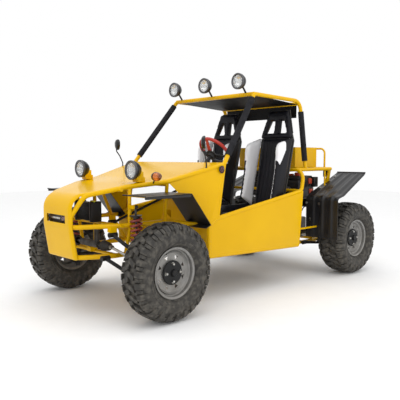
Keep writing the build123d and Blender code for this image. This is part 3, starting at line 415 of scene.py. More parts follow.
# Wheels: pressed steel rims in silver-grey paint, a stepped barrel round a dished disc with eight
# triangular holes, each bolted with four zinc nuts to a round black hub in the middle of the disc.
rim_silver = finish_node("rim_silver", (0.29, 0.285, 0.275), 0.40, metallic=0.35, spots=(0.20, 0.195, 0.185),
                         spot_scale=18.0, grain_scale=220.0, grain=0.15, dust=road_dust, dust_top=0.5,
                         dust_share=0.45)
hub_black = finish_node("hub_black", (0.006, 0.006, 0.007), 0.45, spots=(0.012, 0.012, 0.012),
                        spot_scale=60.0, grain_scale=260.0, grain=0.25, specular=0.25)
hole_count, hole_low, hole_high, hole_half = 8, 0.086, 0.109, 0.0155
disc_bore, disc_edge, bore_steps, edge_steps = 0.030, 0.124, 4, 6
rim_half_share, disc_out_share, disc_step, hub_step = 0.34, 0.45, 0.004, 0.012
rim_sheet, rim_segments = 0.003, 64
# Rim profiles: (radius, distance out) from the front edge, from the disc and from the back edge.
flange_out = 0.0063
front_lip = [(0.1635, 0.0035), (0.1630, 0.0060), (0.1590, flange_out), (0.1520, 0.0020), (0.1495, -0.008),
             (0.1490, -0.022), (0.1380, -0.030)]
disc_bend = [(0.1340, 0.014), (0.1290, 0.004), (disc_edge, 0.0)]
well_front = [(0.1490, -0.022), (0.1340, -0.040)]
back_lip = [(0.1340, 0.040), (0.1500, 0.020), (0.1500, 0.004), (0.1635, -0.0050)]
# Hub, nut and valve profiles: (radius, distance out) from the hub's face, the nut's seat and the valve's.
hub_radius = 0.078
hub_profile = [(0.0, 0.030), (0.018, 0.030), (0.022, 0.027), (0.026, 0.013), (0.034, 0.010), (0.060, 0.008),
               (hub_radius - 0.004, 0.007), (hub_radius, 0.003), (hub_radius, 0.0), (0.0, 0.0)]
nut_count, nut_sides, nut_circle, nut_seat = 4, 6, 0.055, 0.007
nut_profile = [(0.0, 0.013), (0.006, 0.013), (0.0085, 0.011), (0.0095, 0.009), (0.0095, 0.001),
               (0.013, 0.001), (0.013, -0.001), (0.0, -0.001)]
valve_turn, valve_circle, valve_sink = math.radians(205), 0.140, 0.012
valve_profile = [(0.0, 0.030), (0.004, 0.030), (0.0045, 0.016), (0.006, 0.0), (0.0, 0.0)]


def disc_sheet(level, place):
    """Flat ring of the disc between hub and barrel, with its triangular holes, as one sheet."""
    verts, faces = [], []
    half = math.pi / hole_count
    for sector in range(hole_count):
        middle = math.tau * (sector + 0.5) / hole_count
        ring = [(disc_bore, middle - half + 2 * half * step / bore_steps) for step in range(bore_steps + 1)]
        ring += [(disc_edge, middle + half - 2 * half * step / edge_steps) for step in range(edge_steps + 1)]
        outer = [Vector((r * math.cos(a), r * math.sin(a), level)) for r, a in ring]
        along = Vector((math.cos(middle), math.sin(middle), 0))
        aside = Vector((-math.sin(middle), math.cos(middle), 0))
        base, wide = along * hole_high, aside * hole_half
        hole = [along * hole_low, base - wide, base + wide]
        hole = [Vector((p.x, p.y, level)) for p in hole]
        start = len(verts)
        verts += outer + hole
        for face in tessellate_polygon([outer, hole]):
            faces.append(tuple(start + index for index in face))
    return [place @ vert for vert in verts], faces


def thicken(sheet, wall, offset, smooth_angle):
    """Gives a sheet its wall, to both sides for an offset of 0 and behind its face for -1."""
    solid = sheet.modifiers.new("wall", "SOLIDIFY")
    solid.thickness = wall
    solid.offset = offset
    baked(sheet)
    sheet.data.set_sharp_from_angle(angle=math.radians(smooth_angle))


def rim_shell(name, side, axle, width):
    """Barrel and disc of one rim, with sheet thickness."""
    half = rim_half_share * width
    disc_level = half * disc_out_share + disc_step
    place = along_x(*axle, side)
    lump = Lump()
    lump.add(*turned(shifted(front_lip, half) + shifted(disc_bend, disc_level), place, rim_segments))
    lump.add(*turned(shifted(well_front, half) + shifted(back_lip, -half), place, rim_segments))
    lump.add(*disc_sheet(disc_level, place))
    shell = lump.place("rim_" + name + "_shell", [rim_silver], body=None, smooth_angle=28)
    thicken(shell, rim_sheet, offset=0.0, smooth_angle=32)
    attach(shell, "wheel_" + name)
    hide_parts("rim_" + name)


for name, side, axle_y, width in tyre_wheels:
    hub_level = (rim_half_share * width + flange_out) * disc_out_share + hub_step
    axle = (wheel_out * side, axle_y, wheel_up)
    rim_shell(name, side, axle, width)
    hub = Lump()
    hub.add(*turned(shifted(hub_profile, hub_level), along_x(*axle, side), 48), 0)
    nut_place = along_x(0, 0, 0, side) @ Matrix.Translation((nut_circle, 0, hub_level + nut_seat))
    nut = turned(nut_profile, nut_place, nut_sides)
    hub.absorb(repeated_round("nuts_" + name, *nut, nut_count, axle, zinc_plate), 1)
    valve_place = (along_x(*axle, side) @ Matrix.Rotation(valve_turn, 4, "Z")
                   @ Matrix.Translation((valve_circle, 0, hub_level - valve_sink)))
    hub.add(*turned(valve_profile, valve_place, 12), 0)
    hub.place("hub_" + name, [hub_black, zinc_plate], body="wheel_" + name, slot="black_paint")

# Springs: black oil dampers inside red coil springs, four of them, each between a lower and an upper cup,
# with a rubber bush and a zinc bolt in each eye.
spring_red = finish_node("spring_red", (0.30, 0.022, 0.012), 0.35, spots=(0.17, 0.015, 0.010),
                         spot_scale=22.0, grain_scale=160.0, grain=0.1, coat=0.3, dust=road_dust,
                         dust_top=0.75, dust_share=0.5)
damper_black = finish_node("damper_black", (0.014, 0.014, 0.015), 0.35, spots=(0.03, 0.028, 0.026),
                           spot_scale=40.0, grain_scale=200.0, grain=0.1)
damper_ends = {"front": ((0.395, -1.072, 0.3256), (0.378, -1.078, 0.718)),
               "rear": ((0.392, 1.190, 0.292), (0.405, 1.200, 0.700))}
coil_turns, coil_turn_steps = 7.5, 26
coil_radius, coil_wire, coil_gap = 0.0350, 0.0080, 0.012
low_cup_share, high_cup_share = 0.18, 0.86
foot_radius, body_radius, gland_radius, rod_radius = 0.0135, 0.019, 0.011, 0.0075
body_length, gland_length = 0.130, 0.004
# Cup, bump stop, bush and bolt profiles: (radius, height) from the cup's face or the eye's middle.
cup_profile = [(0.012, 0.0), (0.043, 0.0), (0.043, 0.003), (0.037, 0.009), (0.012, 0.010)]
stop_profile = [(0.008, -0.028), (0.017, -0.028), (0.020, -0.014), (0.020, -0.010), (0.008, -0.010)]
bush_profile = [(0.0055, -0.014), (0.0128, -0.014), (0.0128, 0.014), (0.0055, 0.014)]
eye_bolt_profile = [(0, -0.0145), (0.0055, -0.0145), (0.0055, 0.0145), (0, 0.0145)]


def standing(foot, head):
    """Matrix at the foot whose Z axis points at the head, and the distance between them."""
    run = Vector(head) - Vector(foot)
    return Matrix.Translation(foot) @ run.to_track_quat("Z", "Y").to_matrix().to_4x4(), run.length


def run_at(points, index):
    """Direction of a row of points at one of them."""
    return (points[min(index + 1, len(points) - 1)] - points[max(index - 1, 0)]).normalized()


def tube_faces(rings, sides):
    """Faces between rings of points that are listed one ring after another."""
    return [(ring * sides + side, ring * sides + (side + 1) % sides,
             (ring + 1) * sides + (side + 1) % sides, (ring + 1) * sides + side)
            for ring in range(rings - 1) for side in range(sides)]


def swept(points, radius, sides=10):
    """Round bar along a row of points, closed at both ends."""
    points = [Vector(p) for p in points]
    verts = []
    frame_x = None
    for index, point in enumerate(points):
        run = run_at(points, index)
        if frame_x is None:
            frame_x = run.orthogonal().normalized()
        frame_x = (frame_x - run * frame_x.dot(run)).normalized()
        frame_y = run.cross(frame_x)
        for side in range(sides):
            angle = math.tau * side / sides
            verts.append(point + (frame_x * math.cos(angle) + frame_y * math.sin(angle)) * radius)
    last = (len(points) - 1) * sides
    caps = [tuple(reversed(range(sides))), tuple(range(last, last + sides))]
    return verts, tube_faces(len(points), sides) + caps


def flipped(verts):
    """The same points on the other side of the car."""
    return [Vector((-v[0], v[1], v[2])) for v in verts]


def paired(lump):
    """The lump and its mirror image on the other side of the car, as one."""
    pair = Lump()
    pair.add(lump.verts, lump.faces)
    pair.add(flipped(lump.verts), lump.faces)
    pair.finishes = lump.finishes * 2
    return pair


for end, (foot, head) in damper_ends.items():
    place, length = standing(foot, head)
    low, high = length * low_cup_share, length * high_cup_share
    body_top = low + body_length
    gland_top = body_top + gland_length
    shock = Lump()
    damper = [(0, 0.0), (foot_radius, 0.0), (foot_radius, low), (body_radius, low), (body_radius, body_top),
              (gland_radius, gland_top), (rod_radius, gland_top), (rod_radius, length), (0, length)]
    shock.add(*turned(damper, place, 28), 1)
    for base, rise in ((low, 1), (high, -1)):
        cup = [(radius, base + height * rise) for radius, height in cup_profile]
        shock.add(*turned(cup, place, 32, closed=True), 1)
    shock.add(*turned(shifted(stop_profile, high), place, 24, closed=True), 1)
    coil_low, coil_high = low + coil_gap + coil_wire, high - coil_gap - coil_wire
    steps = int(coil_turns * coil_turn_steps)
    coil = []
    for step in range(steps + 1):
        angle = coil_turns * math.tau * step / steps
        level = coil_low + (coil_high - coil_low) * step / steps
        coil.append(place @ Vector((coil_radius * math.cos(angle), coil_radius * math.sin(angle), level)))
    shock.add(*swept(coil, coil_wire, 9), 0)
    for level in (0.0, length):
        across = Matrix.Translation(place @ Vector((0, 0, level))) @ Matrix.Rotation(math.pi / 2, 4, "X")
        shock.add(*turned(bush_profile, across, 24, closed=True), 1)
        shock.add(*turned(eye_bolt_profile, across, 6), 2)
    pair = paired(shock).place(end + "_coil_shocks", [spring_red, damper_black, zinc_plate],
                               slot="red_paint", smooth_angle=40)
    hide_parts(end + "_shocks")

# Bonnet: steel sheet rolled up from the low tube round the nose and bent back over the rails to the cowl,
# enamelled with the frame. Its edges lie on the tubes, and the nose has a slot for a bar and a reflector.
bonnet_wall, bonnet_step = 0.0025, 0.06
# Side view of the sheet: (y, z) corners and the radius at each inner one. Half widths: (y, half width).
bonnet_corners = [(-1.376, 0.3755), (-1.4125, 0.3755), (-1.4465, 0.590), (-1.4465, 0.7915), (-1.086, 0.865),
                  (-0.850, 0.893), (-0.412, 1.004)]
bonnet_radii = [0.022, 0.20, 0.110, 0.60, 0.45]
bonnet_halves = [(-1.4465, 0.160), (-1.376, 0.160), (-1.348, 0.200), (-1.086, 0.325), (-0.850, 0.430),
                 (-0.412, 0.525)]
bonnet_shares = [-1.0, -0.9, -0.75, -0.5, -0.25, 0.0, 0.25, 0.5, 0.75, 0.9, 1.0]
roll_radius, roll_steps = 0.0175, 4
slot_half_share, slot_low, slot_high, slot_margin = 0.75, 0.616, 0.668, 0.001


def rounded_line(corners, radii, steps=8):
    """Points along a line in one plane whose inner corners are arcs."""
    corners = [Vector(corner) for corner in corners]
    points = [corners[0]]
    for index, radius in enumerate(radii, 1):
        to_last = (corners[index - 1] - corners[index]).normalized()
        to_next = (corners[index + 1] - corners[index]).normalized()
        half = math.acos(max(-1.0, min(1.0, to_last.dot(to_next)))) / 2
        middle = corners[index] + (to_last + to_next).normalized() * radius / math.sin(half)
        start = corners[index] + to_last * radius / math.tan(half) - middle
        end = corners[index] + to_next * radius / math.tan(half) - middle
        for step in range(steps + 1):
            between = start.lerp(end, step / steps)
            points.append(middle + between.normalized() * radius)
    return points + [corners[-1]]


def divided(line, step):
    """The line with points added, so that none are much further apart than the step."""
    points = []
    for low, high in zip(line, line[1:]):
        parts = max(1, int((high - low).length / step))
        points += [low.lerp(high, part / parts) for part in range(parts)]
    return points + [line[-1]]


def half_width(y):
    """Half the bonnet's width at that place along the car."""
    for (low_y, low_w), (high_y, high_w) in zip(bonnet_halves, bonnet_halves[1:]):
        if y <= high_y:
            return low_w + (high_w - low_w) * (y - low_y) / (high_y - low_y)
    return bonnet_halves[-1][1]


bonnet_line = rounded_line(bonnet_corners, bonnet_radii)
slot_row = next(row for row, point in enumerate(bonnet_line) if point.y > slot_low)
bonnet_line[slot_row:slot_row] = [Vector((bonnet_corners[2][0], level)) for level in (slot_low, slot_high)]
bonnet_rows = divided(bonnet_line, bonnet_step)
roll = [(math.sin(a) * roll_radius, (1 - math.cos(a)) * roll_radius)
        for a in [math.pi / 2 * step / roll_steps for step in range(1, roll_steps + 1)]]
section = [(-1.0, -out, drop) for out, drop in reversed(roll)]
section += [(share, 0.0, 0.0) for share in bonnet_shares] + [(1.0, out, drop) for out, drop in roll]
bonnet_verts, bonnet_faces = [], []
columns = len(section)
for row, (y, z) in enumerate(bonnet_rows):
    run = run_at(bonnet_rows, row)
    for share, out, drop in section:
        bonnet_verts.append((half_width(y) * share + out, y + run.y * drop, z - run.x * drop))
for row, (low, high) in enumerate(zip(bonnet_rows, bonnet_rows[1:])):
    in_slot_rows = slot_low - slot_margin < low.y and high.y < slot_high + slot_margin
    for column in range(columns - 1):
        middle_share = (section[column][0] + section[column + 1][0]) / 2
        if in_slot_rows and abs(middle_share) < slot_half_share:
            continue
        corner = row * columns + column
        bonnet_faces.append((corner, corner + 1, corner + 1 + columns, corner + columns))
bonnet = add_mesh("bonnet_sheet", bonnet_verts, bonnet_faces, yellow_enamel)
thicken(bonnet, bonnet_wall, offset=-1.0, smooth_angle=30)
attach(bonnet, "chassis")
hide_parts("hood_panel", "nose_plate")

# Round lamps: black pressed bowls with a grey bezel, a bright reflector, a bulb and a fluted glass lens,
# three on stems from the front roof tube and two on yellow feet on the bonnet.
lamp_shell = finish_node("lamp_shell", (0.008, 0.008, 0.009), 0.28, spots=(0.014, 0.014, 0.014),
                         spot_scale=30.0, grain_scale=260.0, grain=0.06, specular=0.35)
lamp_bezel = finish_node("lamp_bezel", (0.10, 0.10, 0.105), 0.35, metallic=0.4, spots=(0.07, 0.07, 0.075),
                         spot_scale=40.0, grain_scale=320.0, grain=0.08)
reflector_bright = finish_node("reflector_bright", (0.88, 0.88, 0.87), 0.12, metallic=1.0,
                               spots=(0.80, 0.80, 0.80), spot_scale=30.0, grain_scale=90.0, grain=0.03)
# Lamp profiles: (share of the lamp's radius, less this much, distance in front of the rim).
bowl_shares = [(0, 0, -0.075), (0.42, 0, -0.075), (0.50, 0, -0.071), (0.80, 0, -0.050), (0.97, 0, -0.026),
               (1, 0.001, -0.020), (1, 0.001, -0.014), (0.80, 0, -0.012), (0.76, 0, -0.016),
               (0.5, 0, -0.045), (0, 0, -0.050)]
bezel_shares = [(1, 0.002, -0.016), (1, 0, -0.013), (1, 0, -0.003), (1, 0.002, -0.0003), (0.86, 0, -0.0006),
                (0.76, 0, -0.0050), (0.745, 0, -0.014)]
reflector_shares = [(0.755, 0, -0.009), (0.66, 0, -0.020), (0.45, 0, -0.033), (0.16, 0, -0.040),
                    (0, 0, -0.040), (0, 0, -0.042), (0.45, 0, -0.036), (0.69, 0, -0.022), (0.755, 0, -0.011)]
lens_shares = [(0, 0, -0.0025), (0.5, 0, -0.0035), (0.750, 0, -0.0060), (0.750, 0, -0.0085), (0, 0, -0.0065)]
bulb_profile = [(0, -0.016), (0.004, -0.018), (0.006, -0.024), (0.006, -0.040), (0, -0.040)]
lamp_turnings = [(bowl_shares, 44, False, 0), (bezel_shares, 56, True, 1), (reflector_shares, 44, False, 2),
                 (lens_shares, 44, False, 3)]


def glass_material(name, tint, rough, flutes):
    """Clear or coloured moulded glass with fine upright flutes."""
    mat = finish_node(name, tint, rough, spots=tuple(c * 0.94 for c in tint), spot_scale=20.0, grain=0.0,
                      coat=0.5, coat_rough=0.03)
    tree = mat.node_tree
    shader = tree.nodes["Principled BSDF"]
    shader.inputs["Transmission Weight"].default_value = 0.9
    shader.inputs["IOR"].default_value = 1.45
    wave = add_node(tree, "ShaderNodeTexWave", {"Scale": flutes, "Distortion": 0.2})
    place = add_node(tree, "ShaderNodeTexCoord")
    ridge = add_node(tree, "ShaderNodeBump", {"Strength": 0.35, "Distance": 0.001})
    link_nodes(tree, (place, "Object", wave, "Vector"), (wave, "Fac", ridge, "Height"),
               (ridge, "Normal", shader, "Normal"))
    return mat


lens_glass = glass_material("lens_glass", (0.97, 0.98, 0.98), 0.06, 45.0)
amber_glass = glass_material("amber_glass", (0.75, 0.20, 0.02), 0.12, 60.0)
red_glass = glass_material("red_glass", (0.55, 0.02, 0.012), 0.12, 60.0)


def round_lamp(lump, radius, centre):
    """Bowl, bezel, reflector, bulb and lens of one lamp that faces the front."""
    place = Matrix.Translation(centre) @ Matrix.Rotation(math.pi / 2, 4, "X")
    for shares, segments, closed, finish in lamp_turnings:
        profile = [(radius * share - less, level) for share, less, level in shares]
        lump.add(*turned(profile, place, segments, closed), finish)
    lump.add(*turned(bulb_profile, place, 16), 2)


def rounded_block(low, high, bevel=0.002, segments=2):
    """Box between two corners with rounded edges."""
    maker = bmesh.new()
    bmesh.ops.create_cube(maker, size=1.0)
    for vert in maker.verts:
        for axis in range(3):
            vert.co[axis] = low[axis] if vert.co[axis] < 0 else high[axis]
    bmesh.ops.bevel(maker, geom=list(maker.edges), offset=bevel, segments=segments, profile=0.5,
                    affect="EDGES")
    maker.verts.index_update()
    verts = [v.co.copy() for v in maker.verts]
    faces = [tuple(v.index for v in face.verts) for face in maker.faces]
    maker.free()
    return verts, faces


def add_blocks(lump, rows):
    """A rounded block for each row: (low corner, high corner, bevel, bevel segments, finish)."""
    for low, high, bevel, segments, finish in rows:
        lump.add(*rounded_block(low, high, bevel, segments), finish)


roof_tube_y, roof_tube_z = 0.011, 1.530
roof_lamp_x, roof_lamp_y, roof_lamp_z, roof_lamp_radius = 0.373, -0.100, 1.623, 0.062
roof_stem_y, roof_stem_radius, roof_stem_shares = -0.0625, 0.0075, (0.25, 0.5, 0.86)
clamp_profile = [(0, 0.030), (0.014, 0.030), (0.014, 0.040), (0, 0.040)]
lamp_finishes = [lamp_shell, lamp_bezel, reflector_bright, lens_glass, yellow_enamel]
roof_lamps = Lump()
for lamp_x in (-roof_lamp_x, 0.0, roof_lamp_x):
    round_lamp(roof_lamps, roof_lamp_radius, (lamp_x, roof_lamp_y, roof_lamp_z))
    head, foot = Vector((lamp_x, roof_stem_y, roof_lamp_z)), Vector((lamp_x, roof_tube_y, roof_tube_z))
    stem = [head + (foot - head) * share for share in roof_stem_shares]
    roof_lamps.add(*swept(stem, roof_stem_radius, 14), 0)
    clamp, _ = standing(head, foot)
    roof_lamps.add(*turned(clamp_profile, clamp, 6), 1)
roof_piece = roof_lamps.place("roof_lamp_set", lamp_finishes[:4], slot="black_paint")
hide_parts("roof_lamps")
lamp_x, lamp_y, lamp_z, nose_lamp_radius = 0.319, -1.074, 0.957, 0.065
# Stem points: (behind the lamp's rim, below its middle).
nose_stem, nose_stem_radius = [(0.046, 0.030), (0.062, 0.052), (0.072, 0.085)], 0.0078
nose_lamps = Lump()
round_lamp(nose_lamps, nose_lamp_radius, (lamp_x, lamp_y, lamp_z))
nose_lamps.add(*swept([(lamp_x, lamp_y + back, lamp_z - down) for back, down in nose_stem],
                      nose_stem_radius, 14), 0)
# Foot and two ears: (low x, high x, in front, behind, low z, high z, bevel), x and y from the lamp.
for low_x, high_x, front, back, low_z, high_z, bevel in (
        (-0.034, 0.034, 0.040, 0.100, 0.8765, 0.9105, 0.006),
        (-0.036, -0.029, 0.030, 0.084, 0.894, 0.946, 0.003),
        (0.029, 0.036, 0.030, 0.084, 0.894, 0.946, 0.003)):
    low, high = (lamp_x + low_x, lamp_y + front, low_z), (lamp_x + high_x, lamp_y + back, high_z)
    nose_lamps.add(*rounded_block(low, high, bevel), 4)
nose_piece = paired(nose_lamps).place("nose_lamp_set", lamp_finishes, slot="black_paint")
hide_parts("nose_lamps")

# Turn signals and tail lamps: moulded amber domes on short stems from the bonnet rails, and red lenses
# on flat black housings at the rear corners, all with black plastic backs.
signal_centre, signal_foot = Vector((0.450, -0.960, 0.915)), Vector((0.398, -0.946, 0.867))
dome_radius, dome_height, dome_steps, dome_sink = 0.0300, 0.046, 8, 0.001
signal_back_profile = [(0.0, 0.0), (0.0310, 0.0), (0.0310, -0.006), (0.026, -0.022), (0.011, -0.034),
                       (0.0, -0.036)]
signal_neck, signal_stem_share, signal_stem_radius = Vector((-0.018, 0, -0.004)), 0.55, 0.0048
tail_low, tail_high = (0.380, 1.077, 0.8607), (0.440, 1.107, 0.9187)
tail_split, tail_rim = 1.092, 0.003
signal_set = Lump()
signal_place = Matrix.Translation(signal_centre) @ Matrix.Rotation(math.pi / 2, 4, "Y")
dome = [(dome_radius * math.cos(a), dome_height * math.sin(a))
        for a in [math.pi / 2 * step / dome_steps for step in range(dome_steps + 1)]]
signal_set.add(*turned([(0.0, dome_sink)] + dome, signal_place, 32), 1)
signal_set.add(*turned(signal_back_profile, signal_place, 32), 0)
signal_stem = [signal_centre + signal_neck, signal_centre.lerp(signal_foot, signal_stem_share), signal_foot]
signal_set.add(*swept(signal_stem, signal_stem_radius, 12), 0)
add_blocks(signal_set, [
    (tail_low, (tail_high[0], tail_split, tail_high[2]), 0.003, 2, 0),
    ((tail_low[0] + tail_rim, tail_split - 0.001, tail_low[2] + tail_rim),
     (tail_high[0] - tail_rim, tail_high[1], tail_high[2] - tail_rim), 0.005, 3, 2),
])
signal_piece = paired(signal_set).place("signal_lamp_set", [lamp_shell, amber_glass, red_glass],
                                        slot="amber_plastic")
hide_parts("signal_lamps")

# Steering wheel: padded grip, red over its upper half and on the top spoke, black below, on a dished hub
# with six bright bolts and a horn cap.
grip_red = finish_node("grip_red", (0.46, 0.030, 0.020), 0.42, spots=(0.38, 0.024, 0.016), spot_scale=40.0,
                       grain_scale=500.0, grain=0.2)
grip_black = finish_node("grip_black", (0.016, 0.016, 0.017), 0.55, spots=(0.025, 0.025, 0.026),
                         spot_scale=40.0, grain_scale=500.0, grain=0.3)
column_tilt = 0.70711
wheel_centre = (0.285, -0.252, 1.092)
wheel_turn = Matrix(((-1, 0, 0), (0, -column_tilt, column_tilt), (0, column_tilt, column_tilt)))
wheel_frame = Matrix.Translation(wheel_centre) @ wheel_turn.to_4x4()
ring_radius, grip_radius, grip_swell, dish = 0.124, 0.0127, 0.02, 0.042
grip_steps, grip_sides = 36, 16
# Spoke stations: (distance from the middle, half width, level), and half the plate's thickness.
spoke_stations = [(0.030, 0.019, -dish + 0.003), (0.050, 0.0165, -dish + 0.008), (0.085, 0.013, -0.020),
                  (0.116, 0.0150, -0.004)]
plate_half = 0.0022
# Boss and bolt profiles: (radius, height above the bottom of the dish).
boss_profile = [(0.0, 0.012), (0.018, 0.012), (0.022, 0.009), (0.024, 0.005), (0.042, 0.0045), (0.043, 0.002),
                (0.043, -0.004), (0.025, -0.005), (0.025, -0.025), (0.010, -0.025), (0.010, -0.148),
                (0.0, -0.148)]
boss_bolt_profile = [(0.0, 0.009), (0.0028, 0.009), (0.0042, 0.0075), (0.0042, 0.0035), (0.0, 0.0035)]
boss_bolt_count, boss_bolt_circle = 6, 0.033
grip = Lump()
for start, finish in ((0.0, 0), (math.pi, 1)):
    verts = []
    for step in range(grip_steps + 1):
        angle = start + math.pi * step / grip_steps
        for side in range(grip_sides):
            turn = math.tau * side / grip_sides
            swell = grip_radius * (1.0 + grip_swell * math.cos(2 * turn))
            radius = ring_radius + swell * math.cos(turn)
            verts.append(wheel_frame @ Vector((radius * math.cos(angle), radius * math.sin(angle),
                                               swell * math.sin(turn))))
    grip.add(verts, tube_faces(grip_steps + 1, grip_sides), finish)
for turn, finish in ((90, 0), (210, 1), (330, 1)):
    spin = wheel_frame @ Matrix.Rotation(math.radians(turn), 4, "Z")
    verts = [spin @ Vector((reach, half * side, level + rise)) for reach, half, level in spoke_stations
             for side, rise in ((-1, -plate_half), (1, -plate_half), (1, plate_half), (-1, plate_half))]
    last = len(verts) - 4
    grip.add(verts, tube_faces(len(spoke_stations), 4) + [(3, 2, 1, 0), tuple(range(last, last + 4))], finish)
grip.add(*turned(shifted(boss_profile, -dish), wheel_frame, 40), 1)
for step in range(boss_bolt_count):
    bolt_turn = Matrix.Rotation(math.tau * (step + 0.5) / boss_bolt_count, 4, "Z")
    bolt_place = wheel_frame @ bolt_turn @ Matrix.Translation((boss_bolt_circle, 0, 0))
    grip.add(*turned(shifted(boss_bolt_profile, -dish), bolt_place, 12), 2)
grip_piece = grip.place("steering_wheel_grip", [grip_red, grip_black, zinc_plate], body="steering_wheel",
                        slot="black_plastic", smooth_angle=45)
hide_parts("steering_wheel")

# Mudguards and console: moulded black plastic with a dusty sheen. The rear guards are bent sheets that
# stand behind the doors and run back over the tyres, with three ribs pressed up along each.
guard_plastic = finish_node("guard_plastic", (0.009, 0.009, 0.010), 0.34, spots=(0.019, 0.019, 0.021),
                            spot_scale=7.0, grain_scale=300.0, grain=0.2, specular=0.35)
dress(guard_plastic, "front_mudguards", "shift_console")
guard_corners = [(0.755, 0.342), (0.755, 0.700), (0.856, 0.724), (1.262, 0.885), (1.288, 0.8985)]
guard_radii = [0.045, 0.20, 0.03]
guard_columns, guard_step, guard_wall = 29, 0.03, 0.0045
guard_outer_x, taper_start, taper_length, taper = 0.745, 0.860, 0.440, 0.055
guard_low_x, guard_top_x, guard_bend_y = 0.426, 0.400, 0.790
rib_middle_shares, rib_half_share, rib_rise, edge_drop = (0.22, 0.50, 0.78), 0.055, 0.009, 0.012
rib_start_rows, rib_end_rows = 2, 3
# Rolled edges behind and in front: (inner x, outer x, y, z, radius, sides). Skirt of the front guards.
guard_edges = [(0.402, 0.690, 1.2905, 0.8985, 0.0075, 12), (0.378, 0.617, -1.176, 0.802, 0.0028, 10)]
skirt_x, skirt_y, skirt_z, skirt_bevel = (0.600, 0.618), (-1.174, -0.800), (0.782, 0.800), 0.004
guard_rows = divided(rounded_line(guard_corners, guard_radii), guard_step)
guard_verts, guard_faces = [], []
for row, (y, z) in enumerate(guard_rows):
    run = run_at(guard_rows, row)
    outer_x = guard_outer_x - taper * max(0.0, y - taper_start) / taper_length
    inner_x = guard_low_x if y < guard_bend_y else guard_top_x
    ends = min(1.0, row / rib_start_rows, (len(guard_rows) - 1 - row) / rib_end_rows)
    for column in range(guard_columns):
        share = column / (guard_columns - 1)
        rise = ends * sum(rib_rise * (1 - ((share - middle) / rib_half_share) ** 4)
                          for middle in rib_middle_shares if abs(share - middle) < rib_half_share)
        drop = edge_drop if column == guard_columns - 1 else 0.0
        guard_verts.append((inner_x + (outer_x - inner_x) * share, y - run.y * rise,
                            z + run.x * rise - drop * run.x))
for row in range(len(guard_rows) - 1):
    for column in range(guard_columns - 1):
        corner = row * guard_columns + column
        guard_faces.append((corner, corner + 1, corner + 1 + guard_columns, corner + guard_columns))
guard_pair = Lump()
guard_pair.add(guard_verts, guard_faces)
guard_pair.add(flipped(guard_verts), [tuple(reversed(face)) for face in guard_faces])
rear_guards = guard_pair.place("rear_mudguard_sheets", [guard_plastic], body=None, smooth_angle=60,
                               weld=False)
thicken(rear_guards, guard_wall, offset=-1.0, smooth_angle=50)
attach(rear_guards, "chassis")
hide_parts("rear_mudguards")
guard_lips = Lump()
for side in (-1, 1):
    for inner_x, outer_x, y, z, radius, sides in guard_edges:
        guard_lips.add(*swept([(inner_x * side, y, z), (outer_x * side, y, z)], radius, sides))
    low_x, high_x = sorted(x * side for x in skirt_x)
    skirt_low, skirt_high = (low_x, skirt_y[0], skirt_z[0]), (high_x, skirt_y[1], skirt_z[1])
    guard_lips.add(*rounded_block(skirt_low, skirt_high, skirt_bevel))
guard_lips.place("mudguard_lips", [guard_plastic], slot="black_plastic", smooth_angle=50)

# Mirrors: black plastic heads of rounded outline on bent rods from the bonnet rails. The left head is
# turned outwards, edge-on to the front corner, and the right one looks back and a little inwards.
mirror_glass = finish_node("mirror_glass", (0.82, 0.84, 0.85), 0.04, metallic=1.0, spots=(0.76, 0.78, 0.80),
                           spot_scale=5.0, grain=0.0)
mirror_sides, mirror_half_w, mirror_half_h, mirror_top_share = 32, 0.047, 0.045, 0.12
mirror_x, mirror_y, mirror_z = 0.516, -0.591, 1.145
mirror_foot_x, mirror_foot_y, mirror_foot_z = 0.501, -0.551, 0.9605
# Head rings from the glass's middle to the back's: (share of the outline, distance towards the glass).
mirror_ring_shares = [(0.0, 0.0085), (0.90, 0.0085), (0.94, 0.0110), (1.0, 0.0060), (0.98, -0.0020),
                      (0.86, -0.0110), (0.60, -0.0170), (0.0, -0.0200)]
stem_rise, stem_bow_share, stem_bow, mirror_stem_radius = 0.035, 0.45, (0.004, -0.004, 0.01), 0.0048
# Upper end of the stem: (below the head's middle, behind it).
stem_ends = [(0.055, 0.008), (0.030, 0.010)]
stem_nut_profile = [(0, 0.012), (0.006, 0.012), (0.009, 0.008), (0.009, -0.004), (0, -0.004)]
mirror_set = Lump()
for side, facing in ((1, (0.69, 0.72, 0.0)), (-1, (0.30, 0.95, 0.0))):
    glass_way = Vector(facing).normalized()
    across = Vector((0, 0, 1)).cross(glass_way)
    centre = Vector((mirror_x * side, mirror_y, mirror_z))
    verts = []
    for scale, depth in mirror_ring_shares:
        for step in range(mirror_sides):
            angle = math.tau * step / mirror_sides
            swell = 1 - mirror_top_share + mirror_top_share * math.sin(angle)
            wide = mirror_half_w * swell * math.cos(angle)
            rise = Vector((0, 0, mirror_half_h * math.sin(angle)))
            verts.append(centre + (across * wide + rise) * scale + glass_way * depth)
    mirror_set.add(verts[:2 * mirror_sides], tube_faces(2, mirror_sides), 1)
    mirror_set.add(verts[mirror_sides:], tube_faces(len(mirror_ring_shares) - 1, mirror_sides), 0)
    foot = Vector((mirror_foot_x * side, mirror_foot_y, mirror_foot_z))
    bow = Vector((stem_bow[0] * side, stem_bow[1], stem_bow[2]))
    stem = [foot, foot + Vector((0, 0, stem_rise)), foot.lerp(centre, stem_bow_share) + bow]
    stem += [centre - Vector((0, 0, below)) - glass_way * behind for below, behind in stem_ends]
    mirror_set.add(*swept(stem, mirror_stem_radius, 12), 0)
    mirror_set.add(*turned(stem_nut_profile, Matrix.Translation(foot), 6), 0)
mirror_piece = mirror_set.place("mirror_set", [lamp_shell, mirror_glass], slot="black_paint", smooth_angle=50)
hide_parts("mirrors")

